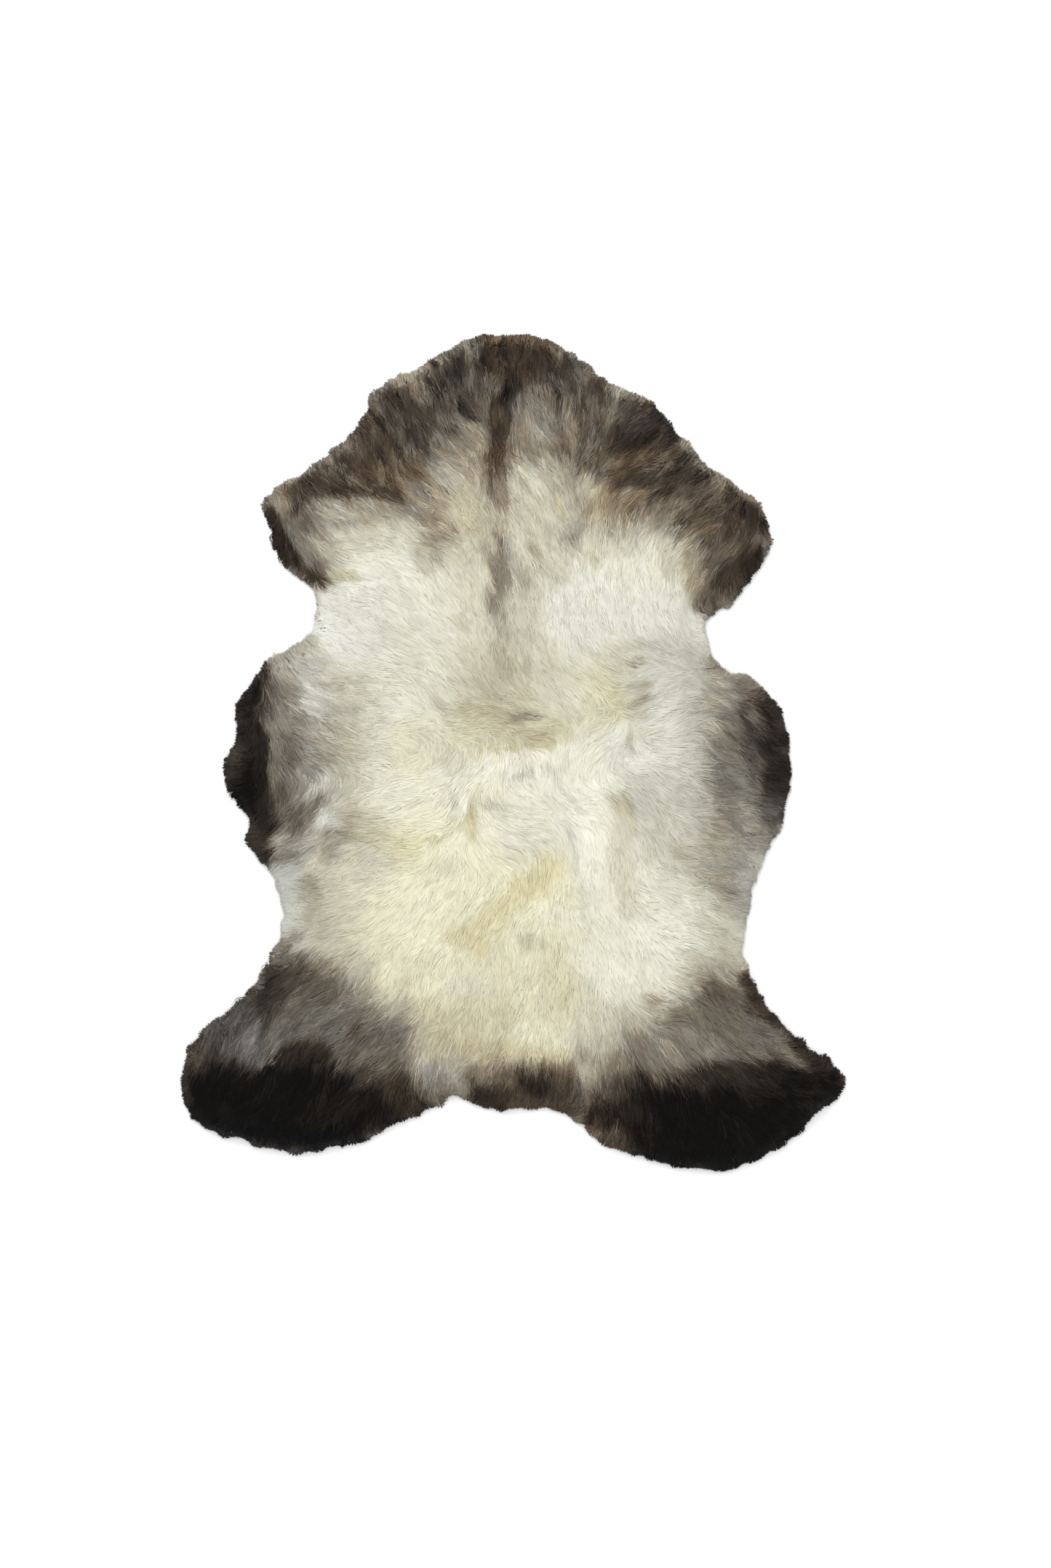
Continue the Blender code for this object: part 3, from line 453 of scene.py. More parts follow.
    (645, 975, 656, 978, 6, 8, 0.32, 0.7, 0.8), (600, 965, 612, 975, 4, 6, 0.32, 0.5, 0.7),
    (640, 1275, 655, 1270, 4, 7, 0.24, 0.95, 0.8), (722, 1293, 742, 1296, 5, 8, 0.3, 0.6, 0.85),
    (890, 1376, 902, 1372, 4, 7, 0.46, 0.7, 0.9),
    # back
    (846, 960, 852, 984, 6, 12, 0.24, 0.8, 0.8),
    # rump
    (628, 1286, 656, 1296, 8, 14, 0.21, 1.0, 0.85), (545, 1338, 600, 1344, 12, 20, 0.12, 0.7, 0.8),
    (620, 1350, 670, 1355, 8, 16, 0.15, 0.45, 0.7), (640, 1438, 690, 1444, 7, 14, 0.34, 0.95, 0.85),
    (750, 1255, 780, 1265, 8, 16, 0.08, 0.4, 0.7), (728, 1218, 754, 1193, 6, 12, 0.21, 1.2, 0.9),
    (612, 1426, 628, 1434, 6, 10, 0.38, 0.7, 0.85),
    # whorl
    (858, 1098, 866, 1114, 3, 6, 0.38, 0.75, 0.85), (862, 1120, 868, 1148, 2, 5, 0.3, 0.7, 0.8),
    (850, 1142, 862, 1240, 9, 14, 0.2, 0.5, 0.75), (840, 1096, 852, 1116, 4, 7, 0.3, 0.7, 0.8),
    # the right foreleg
    (1004, 715, 1012, 795, 38, 20, 0.78, 0.45, 1.0), (965, 708, 975, 730, 14, 12, 0.76, 0.65, 0.8),
    (1012, 678, 1046, 700, 7, 8, 0.56, 0.55, 0.9), (985, 665, 998, 678, 5, 8, 0.66, 0.4, 0.85),
    (1003, 684, 1012, 698, 8, 9, 0.87, 0.5, 0.95), (1028, 706, 1042, 724, 11, 9, 0.94, 0.5, 0.95),
    (985, 755, 996, 768, 11, 12, 0.74, 0.6, 0.8), (1000, 782, 1018, 804, 9, 12, 0.9, 0.5, 0.9),
    (1034, 736, 1050, 751, 2, 5, 0.58, 0.1, 0.8), (1057, 740, 1057, 755, 3, 6, 0.66, 0.3, 0.7),
    (1053, 756, 1052, 768, 4, 7, 0.58, 0.2, 0.8), (1000, 657, 1030, 682, 4, 7, 0.62, 0.4, 0.8),
    (1004, 740, 1032, 731, 6, 9, 0.9, 0.5, 0.8), (968, 788, 974, 812, 6, 10, 0.62, 0.6, 0.8),
    (1030, 766, 1025, 796, 12, 11, 0.94, 0.55, 0.95), (990, 803, 1012, 800, 8, 10, 0.88, 0.55, 0.95),
    (966, 832, 1000, 836, 9, 9, 0.75, 0.6, 0.95), (949, 766, 954, 812, 6, 12, 0.42, 0.7, 0.9),
    # the left hind leg
    (406, 1345, 372, 1390, 26, 15, 0.9, 0.25, 1.0), (470, 1338, 500, 1364, 7, 20, 0.42, 0.5, 0.85),
    (440, 1352, 458, 1380, 20, 24, 0.74, 0.45, 0.95), (418, 1402, 525, 1435, 30, 24, 0.68, 0.2, 1.0),
    (490, 1458, 545, 1462, 12, 18, 0.7, 0.4, 0.95), (500, 1474, 528, 1484, 7, 13, 0.86, 0.35, 0.85),
    (392, 1416, 440, 1410, 12, 13, 0.65, 0.2, 0.85), (300, 1440, 345, 1460, 15, 16, 0.82, 0.05, 0.95),
    (315, 1480, 375, 1484, 12, 14, 0.97, 0.3, 0.95), (322, 1416, 350, 1408, 10, 13, 0.68, -0.1, 0.95),
    (318, 1430, 356, 1440, 10, 13, 0.68, -0.05, 0.95), (368, 1432, 390, 1422, 8, 11, 0.64, 0.05, 0.9),
    (332, 1386, 275, 1440, 12, 12, 0.8, 0.0, 0.95), (262, 1450, 300, 1480, 24, 14, 0.82, 0.3, 0.95),
    (290, 1508, 420, 1532, 42, 16, 1.0, 0.3, 1.0), (408, 1486, 452, 1502, 40, 17, 1.0, 0.3, 1.0),
    (400, 1448, 440, 1446, 12, 12, 0.93, 0.4, 0.95), (450, 1530, 540, 1522, 28, 14, 0.98, 0.5, 1.0),
    (545, 1492, 565, 1524, 12, 12, 0.88, 0.55, 0.95), (488, 1412, 496, 1422, 5, 8, 0.78, 0.5, 0.8),
    (392, 1317, 410, 1320, 6, 8, 0.62, 0.3, 0.85), (288, 1548, 308, 1557, 4, 7, 0.82, -0.1, 0.85),
    (255, 1490, 259, 1512, 4, 7, 0.88, 0.2, 0.8), (300, 1556, 380, 1578, 4, 6, 0.8, 0.1, 0.8),
    (400, 1584, 520, 1560, 4, 7, 0.76, 0.0, 0.8),
    # between the hind legs
    (588, 1476, 612, 1482, 8, 12, 0.5, 0.1, 0.85), (632, 1466, 642, 1494, 7, 12, 0.36, 0.4, 0.85),
    (619, 1468, 630, 1482, 6, 9, 0.34, 0.3, 0.85),
    # the tail
    (652, 1474, 700, 1474, 8, 12, 0.62, 0.65, 0.9), (752, 1470, 776, 1469, 8, 12, 0.67, 0.7, 0.9),
    (658, 1504, 690, 1512, 11, 11, 0.93, 0.6, 1.0), (708, 1496, 770, 1500, 23, 13, 0.84, 0.6, 1.0),
    (722, 1490, 745, 1492, 8, 8, 0.95, 0.4, 0.9), (682, 1480, 700, 1484, 5, 9, 0.66, 0.55, 0.85),
    (792, 1490, 798, 1512, 5, 8, 0.74, 0.3, 0.8), (638, 1484, 642, 1496, 4, 8, 0.58, 0.4, 0.8),
    (700, 1441, 772, 1446, 6, 10, 0.24, 1.0, 0.8), (800, 1448, 812, 1480, 6, 12, 0.4, 0.5, 0.85),
    # the right hind leg
    (904, 1400, 932, 1386, 8, 20, 0.4, 0.45, 0.85), (1000, 1374, 950, 1402, 22, 26, 0.7, 0.45, 0.95),
    (962, 1344, 1005, 1336, 10, 20, 0.46, 0.45, 0.9), (980, 1360, 1006, 1372, 10, 12, 0.78, 0.4, 0.9),
    (950, 1317, 968, 1318, 6, 12, 0.31, 0.4, 0.75), (1020, 1400, 1060, 1450, 22, 18, 0.7, 0.4, 0.95),
    (1030, 1346, 1060, 1396, 9, 11, 0.87, 0.6, 0.95), (1070, 1405, 1146, 1470, 11, 12, 0.92, 0.5, 0.95),
    (1034, 1414, 1066, 1430, 10, 13, 0.6, 0.2, 0.85), (980, 1418, 1002, 1444, 10, 14, 0.7, 0.3, 0.85),
    (880, 1444, 950, 1450, 20, 24, 0.6, 0.4, 0.95), (862, 1420, 940, 1420, 7, 16, 0.45, 0.4, 0.8),
    (826, 1420, 828, 1450, 8, 16, 0.32, 0.5, 0.9), (836, 1464, 864, 1459, 8, 14, 0.6, 0.5, 0.85),
    (850, 1488, 880, 1479, 10, 13, 0.86, 0.5, 0.9), (900, 1542, 1080, 1522, 46, 16, 1.0, 0.35, 1.0),
    (1040, 1485, 1128, 1495, 22, 14, 0.98, 0.3, 1.0), (940, 1580, 1010, 1582, 22, 10, 1.0, 0.3, 1.0),
    (958, 1474, 1060, 1470, 9, 13, 0.93, 0.4, 0.9), (882, 1530, 884, 1560, 16, 12, 0.96, 0.5, 1.0),
    (822, 1534, 862, 1526, 15, 11, 0.97, 0.65, 0.95), (816, 1556, 850, 1577, 7, 9, 0.84, 0.6, 0.9),
    # last small marks all over: left shoulder
    (584, 714, 598, 716, 6, 10, 0.6, 0.6, 0.85), (480, 708, 490, 708, 6, 9, 0.29, 0.5, 0.85),
    # spine
    (688, 716, 692, 728, 5, 8, 0.26, 0.75, 0.85),
    # beside the spine
    (732, 664, 738, 676, 6, 9, 0.14, 0.4, 0.85),
    # right shoulder
    (803, 666, 811, 674, 6, 9, 0.26, 0.65, 0.85),
    # left foreleg
    (432, 712, 438, 730, 6, 9, 0.65, 0.35, 0.85), (402, 790, 410, 794, 5, 8, 0.57, 0.4, 0.85),
    # right foreleg
    (996, 836, 1004, 834, 5, 8, 0.55, 0.3, 0.85),
    # left flank
    (367, 982, 373, 988, 5, 8, 0.79, 0.15, 0.85),
    # right flank
    (1014, 944, 1026, 947, 6, 8, 0.68, 0.3, 0.85), (1046, 1024, 1048, 1038, 5, 8, 0.96, 0.1, 0.9),
    # left hind leg
    (386, 1298, 396, 1299, 5, 9, 0.56, 0.5, 0.85), (350, 1349, 356, 1352, 5, 8, 0.65, 0.1, 0.85),
    (300, 1552, 490, 1572, 9, 12, 1.0, -0.3, 0.8),
    # middle of the back
    (652, 1082, 668, 1088, 9, 10, 0.04, 0.55, 0.8),
)

# Where the wool at the rim stands further out than the solid, or less far: a spot, the width
# of the change there and how far it goes, in pixels.
RIM = (
    (610, 478, 10, 3), (530, 520, 9, 4), (503, 546, 12, 5), (493, 578, 10, 7), (408, 650, 11, -9),
    (360, 696, 16, 6), (374, 754, 10, 9), (381, 769, 8, 4), (395, 797, 8, 3), (400, 890, 18, 6),
    (370, 900, 10, 6), (346, 928, 10, -6), (330, 952, 10, -6), (320, 968, 5, 3), (318, 988, 4, 6),
    (328, 996, 4, -5), (327, 1008, 5, -3), (318, 1030, 8, 3), (312, 1078, 14, 10), (314, 1096, 8, 10),
    (325, 1107, 6, 5), (340, 1128, 11, -9), (336, 1150, 6, 5), (342, 1160, 12, 7), (360, 1184, 8, -3),
    (380, 1222, 11, 5), (371, 1314, 10, 8), (344, 1358, 14, 6), (318, 1382, 10, 4), (360, 1331, 6, 2),
    (285, 1412, 12, 4), (262, 1438, 10, 6), (246, 1472, 8, 2), (252, 1500, 12, -4), (262, 1541, 8, 7),
    (290, 1560, 13, -9), (328, 1571, 15, -11), (425, 1588, 12, -4), (466, 1580, 14, -6),
    (520, 1563, 10, -3), (552, 1543, 12, 4), (606, 1518, 13, 9), (667, 1524, 7, 6), (710, 1527, 10, -4),
    (728, 1526, 12, 10), (832, 1574, 10, 8), (856, 1586, 8, -4), (897, 1599, 9, -4), (990, 1611, 18, 6),
    (1090, 1566, 10, 4), (1134, 1526, 14, -9), (1160, 1480, 12, 7), (1136, 1456, 15, 11),
    (1104, 1432, 9, 4), (1065, 1392, 8, -3), (1030, 1325, 8, -2), (1036, 1232, 14, 5),
    (1040, 1210, 10, 6), (1069, 1148, 9, 6), (1079, 1124, 5, -4), (1088, 1086, 5, 4),
    (1090, 1044, 12, -4), (1080, 976, 9, 3), (1038, 933, 8, 3), (1011, 920, 9, -7), (972, 858, 10, -4),
    (982, 846, 10, 7), (1026, 806, 9, 4), (1006, 838, 12, 8), (1062, 728, 11, 5), (1048, 694, 11, 6),
    (1018, 668, 14, -9), (988, 650, 10, -4), (958, 626, 12, 7), (914, 572, 11, 5), (813, 503, 13, 8),
    (756, 468, 14, 9), (690, 459, 12, -4),
)

# The lie of the wool: a spot, and the way its tips point there, in degrees round from +X.
LIE = (
    (702, 545, -98), (692, 585, -94), (682, 625, -88), (681, 665, -82), (686, 705, -74), (690, 745, -76),
    (690, 785, -82), (689, 825, -84), (695, 865, -82), (704, 606, -66), (700, 640, -54), (700, 675, -50),
    (706, 712, -52), (708, 752, -60), (520, 560, -65), (430, 659, -62), (466, 684, -45), (517, 715, -40),
    (504, 763, -15), (478, 778, -10), (491, 812, -22), (555, 817, -45), (606, 779, -50), (670, 753, -70),
    (453, 855, -20), (389, 715, -75), (415, 766, -62), (520, 593, -70), (541, 639, -67), (541, 700, -38),
    (510, 684, -40), (651, 593, -40), (627, 623, -47), (587, 648, -38), (593, 690, -40), (593, 715, -20),
    (630, 715, -70), (610, 742, -15), (560, 760, -35), (718, 556, -60), (731, 605, -60), (740, 654, -50),
    (770, 700, -62), (620, 500, -75), (680, 480, -95), (680, 530, -80), (740, 490, -85), (780, 520, -80),
    (590, 540, -75), (800, 560, -85), (847, 578, -110), (877, 623, -145), (877, 678, -145),
    (850, 655, -150), (820, 640, -110), (930, 640, -145), (980, 700, -140), (900, 560, -130),
    (890, 705, -115), (950, 725, -140), (1000, 760, -120), (965, 800, -108), (1020, 800, -100),
    (1030, 720, -100), (790, 740, -75), (830, 720, -90), (810, 820, -85), (860, 780, -90),
    (920, 800, -95), (860, 850, -80), (930, 850, -60), (860, 898, -30), (904, 933, 10), (889, 948, 25),
    (933, 986, 14), (960, 900, -20), (904, 1050, -18), (992, 1021, -35), (1036, 1006, -45),
    (1065, 1080, -12), (1000, 960, -20), (933, 1109, -18), (889, 1138, -50), (874, 1153, -68),
    (962, 1182, -12), (1000, 1120, -10), (1010, 1220, -20), (920, 1230, -20), (960, 1300, -25),
    (532, 921, -20), (501, 961, -5), (470, 936, -10), (449, 949, -12), (532, 998, 0), (516, 1043, -10),
    (562, 1074, -160), (611, 1080, -150), (654, 1068, -130), (630, 1105, -115), (600, 1130, -170),
    (520, 1100, -172), (480, 1130, 178), (560, 1160, 178), (600, 1165, -120), (669, 1037, -100),
    (720, 1037, -95), (776, 1037, -90), (700, 1120, -25), (730, 1135, -10), (776, 1120, -52),
    (792, 1166, -80), (807, 1105, -30), (822, 1043, -125), (853, 1059, -35), (840, 1010, -150),
    (883, 982, 20), (715, 982, 0), (654, 994, 5), (730, 1012, 15), (685, 906, -80), (715, 936, -60),
    (761, 952, -38), (623, 890, -50), (562, 890, -30), (470, 890, -25), (700, 800, -70), (690, 720, -70),
    (740, 860, -75), (402, 950, -26), (405, 1005, -38), (405, 1060, -45), (345, 960, 172),
    (336, 1040, 176), (340, 1110, 178), (374, 940, -60), (368, 985, -80), (370, 1025, -82),
    (368, 1065, -88), (372, 1105, -95), (452, 972, -22), (440, 1030, -25), (420, 1088, -125),
    (440, 1120, -120), (405, 1135, -140), (400, 1160, -150), (440, 1200, -160), (500, 1220, -165),
    (400, 1250, 175), (480, 1280, -150), (862, 1332, -75), (916, 1391, -10), (872, 1404, -65),
    (970, 1332, -30), (970, 1365, -40), (948, 1430, -50), (916, 1434, -55), (1035, 1430, -30),
    (1100, 1452, -25), (1013, 1495, -40), (820, 1200, -80), (840, 1260, -60), (393, 1330, -130),
    (423, 1376, -138), (362, 1407, -120), (316, 1431, -105), (454, 1407, -145), (515, 1392, -125),
    (546, 1346, -115), (607, 1346, -105), (576, 1483, -95), (515, 1453, -130), (423, 1483, -110),
    (332, 1514, -115), (637, 1422, -115), (683, 1438, -105), (600, 1230, -125), (680, 1230, -110),
    (560, 1290, -125), (740, 1200, -100), (740, 1300, -95), (700, 1380, -100), (780, 1400, -92),
    (740, 1480, -90), (820, 1450, -85), (800, 1340, -88), (860, 1520, -85), (950, 1550, -80),
    (690, 1170, -30), (660, 1110, -60), (650, 1160, -80),
)


class Layer(NamedTuple):
    """One layer of wool, all of it in one mesh."""

    piece: str
    lift: float
    length: float
    width: float
    spacing: float
    wisp_width: float
    gather: float
    lean: float
    lift_spread: float
    steps: tuple
    widths: tuple


# Layers of the wool, from the skin up: the piece, its lift over the fleece's surface, the
# length and the width of its strands, the distance between its wisps, a wisp's width at its
# root, how far a wisp draws together, how far wisps lean from the wool's lie in degrees, the
# spread of lift from wisp to wisp, and how far along a strand its cross sections stand with
# their share of its full width. The fringe is the layer that stands in a band along the rim
# and points straight out of it.
SHORT_STEPS = (0.0, 0.5, 1.0)
SHORT_WIDTHS = (0.5, 1.0)
LONG_STEPS = (0.0, 0.36, 0.7, 1.0)
LONG_WIDTHS = (0.35, 1.0, 0.85)
FRINGE = "wool_fringe"
FRINGE_BAND = (2.5 * MM, 17 * MM)
LAYERS = (
    Layer(FRINGE, -0.6 * MM, 17 * MM, 1.2 * MM, 2.4 * MM, 2.2 * MM, 0.0, 12,
          0.4 * MM, SHORT_STEPS, SHORT_WIDTHS),
    Layer("wool_undercoat", -0.8 * MM, 15 * MM, 1.5 * MM, 5.4 * MM, 3.6 * MM, 0.1, 26,
          0.15 * MM, SHORT_STEPS, SHORT_WIDTHS),
    Layer("wool_inner", -0.5 * MM, 24 * MM, 1.3 * MM, 5.4 * MM, 3.2 * MM, 0.1, 8,
          0.15 * MM, SHORT_STEPS, SHORT_WIDTHS),
    Layer("wool_body", -0.3 * MM, 32 * MM, 1.05 * MM, 6.75 * MM, 3.0 * MM, 0.1, 6,
          0.15 * MM, LONG_STEPS, LONG_WIDTHS),
    Layer("wool_outer", -0.15 * MM, 34 * MM, 0.9 * MM, 6.75 * MM, 2.8 * MM, 0.1, 5,
          0.15 * MM, LONG_STEPS, LONG_WIDTHS),
    Layer("wool_top", 0.0 * MM, 36 * MM, 0.75 * MM, 6.75 * MM, 2.6 * MM, 0.15, 5,
          0.15 * MM, LONG_STEPS, LONG_WIDTHS),
)

# How a wisp lies: how far it leans with its lock, also in the fringe, and by itself where the
# lie is out of order; the width and the lean of slow waves over the rug; how far it turns along
# its way by itself and with its lock.
LOCK_LEAN = math.radians(10)
FRINGE_LOCK_LEAN = math.radians(4)
ASTRAY_LEAN = math.radians(38)
SWAY = (60 * MM, math.radians(8))
WISP_TURN = math.radians(6)
LOCK_TURN = math.radians(13)

# How long a wisp is, as shares of its layer's length; how far inside the rim a tip ends that
# would reach past it, and how much further out that of a high lock; in how many rounds wisps
# are fitted to that; the least share that a round leaves of one, and the most that it makes of
# one in the fringe; a wisp's least length, and its greatest as a share of its layer's.
WISP_REACH = (0.8, 1.15)
TIP_INSET = (-1.0 * MM, 1.5 * MM)
HIGH_LOCK_OUT = 0.8 * MM
FIT_ROUNDS = 3
LEAST_FIT = 0.2
MOST_FRINGE_FIT = 1.6
LEAST_WISP = 2 * MM
MOST_WISP = 1.2

# How many waves a wisp has; the curve by which a lock draws together, and the share of that in
# the fringe; the curve by which a wisp does; how long its strands are, as shares of its length,
# and how far one strays from it.
WAVES = (0.6, 1.1)
LOCK_CURVE = 1.4
FRINGE_GATHER = 0.4
WISP_CURVE = 1.2
STRAND_REACH = (0.84, 1.06)
STRAND_STRAY = math.radians(3)

# How high a strand lies over the fleece's surface: the lift of a high lock; the crown of a
# lock, and half its width as a share of the distance between locks; the crown of a wisp; the
# spread from strand to strand; and how fast a strand rises to that from its root.
LOCK_LIFT = 0.4 * MM
LOCK_CROWN = 0.5 * MM
CROWN_REACH = 0.35
WISP_CROWN = 0.12 * MM
STRAND_LIFT = 0.06 * MM
RISE = 1.6

# How its root dips below the surface: the curve of that, and its most as a share of the
# fleece's height; in the fringe how deep strands start, as such a share too, and how far they
# come up from there.
DIP_CURVE = 2.2
MOST_DIP = 0.85
FRINGE_DEPTH = 0.6
FRINGE_RISE = 0.3

# The band along the rim where wool lies closer, and the shares of its lift and its dip that are
# left at the rim; and the lowest that a strand's middle and its corners lie over the floor.
CLOSE_BAND = 30 * MM
CLOSE_LIFT = 0.5
CLOSE_DIP = 0.35
LOWEST_MIDDLE = 0.5 * MM
LOWEST_CORNER = 0.3 * MM

# The spread of a strand's width, as shares of its layer's, and how far it rolls: towards the
# side of its wisp, and by chance.
STRAND_WIDTH = (0.75, 1.25)
SIDE_ROLL = math.radians(5)
STRAND_ROLL = math.radians(4)

# The pattern of fine streaks, in which a strand is one wide: how far over it strands are spread
# by chance, how long a strand is in it, and the size of one such width in the underwool.
STREAK_SHEET = 50
STREAK_LENGTH = 6
UNDERWOOL_STREAK = 2 * MM

# The share of a strand's cell of the baking sheet that is left free before it, and the share
# that it fills, across and along.
CELL_ACROSS = (0.2, 0.6)
CELL_ALONG = (0.1, 0.8)

# The underwool: the height of its flat bottom, its least height, and how far along a strand its looks
# are taken, which gives it part of a root's darker, warmer colour with its painted shade.
UNDERWOOL_BOTTOM = 2 * MM
UNDERWOOL_LEAST = 3 * MM
UNDERWOOL_ALONG = 0.2

# The hide: how squarely down a face of the solid's underside looks, and how high it may reach;
# how level and how sharp an edge of the skin is at its rim, and the rounding there.
UNDERSIDE_AIM = -0.9
UNDERSIDE_TOP = 0.2 * MM
RIM_LEVEL = 0.1 * MM
RIM_ANGLE = math.radians(60)
RIM_ROUNDING = 0.7 * MM

# The stage: the floor's colour as it shows on a screen, and the soft lamp's side and place in
# metres.
FLOOR_SHOWN = (250, 250, 250)
LAMP_SIZE = 1.2
LAMP_PLACE = (-0.7, 1.9, 2.2)


def paint(red, green, blue):
    """Turns a screen colour, 0 to 255, into the light that a material works in."""
    shares = (value / 255 for value in (red, green, blue))
    return tuple(s / 12.92 if s <= 0.04045 else ((s + 0.055) / 1.055) ** 2.4 for s in shares)


def on_rug(across, down):
    """Turns a place in the photograph, in pixels, into metres on the rug."""
    return (
        (np.asarray(across, float) - PICTURE_MIDDLE[0]) * PICTURE_STEP,
        (PICTURE_MIDDLE[1] - np.asarray(down, float)) * PICTURE_STEP,
    )


def ease(share):
    """A soft step from 0 to 1."""
    share = np.clip(share, 0.0, 1.0)
    return share * share * (3.0 - 2.0 * share)


def risen(amounts, share):
    """The first amount, and as much of the second on it as the share says."""
    return amounts[0] + amounts[1] * share


def blurred(values, rounds):
    """A grid of values with each one evened out with its neighbours."""
    for _ in range(rounds):
        for axis in (0, 1):
            ahead = np.concatenate((values.take(range(1, values.shape[axis]), axis),
                                    values.take([-1], axis)), axis)
            behind = np.concatenate((values.take([0], axis),
                                     values.take(range(values.shape[axis] - 1), axis)), axis)
            values = (behind + 2.0 * values + ahead) / 4.0
    return values


def welded_solid():
    """A copy of the pelt's solid with its loose triangles joined."""
    solid = bmesh.new()
    solid.from_mesh(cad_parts[NODE].data)
    bmesh.ops.remove_doubles(solid, verts=solid.verts, dist=WELD)
    return solid


class Ripple:
    """Smooth waves by chance over the rug, as far as their reach each way and the same on each
    run."""

    SQUARES = 128

    def __init__(self, width, reach, seed):
        self.width = width
        self.reach = reach
        self.heights = np.random.default_rng(seed).uniform(-1.0, 1.0, (self.SQUARES, self.SQUARES))

    def at(self, x, y):
        across = x / self.width + self.SQUARES / 2
        along = y / self.width + self.SQUARES / 2
        column = np.floor(across).astype(int)
        row = np.floor(along).astype(int)
        right = ease(across - column)
        up = ease(along - row)
        corner = [
            self.heights[(row + j) % self.SQUARES, (column + i) % self.SQUARES]
            for j in (0, 1) for i in (0, 1)
        ]
        low = corner[0] + (corner[1] - corner[0]) * right
        high = corner[2] + (corner[3] - corner[2]) * right
        return self.reach * (low + (high - low) * up)


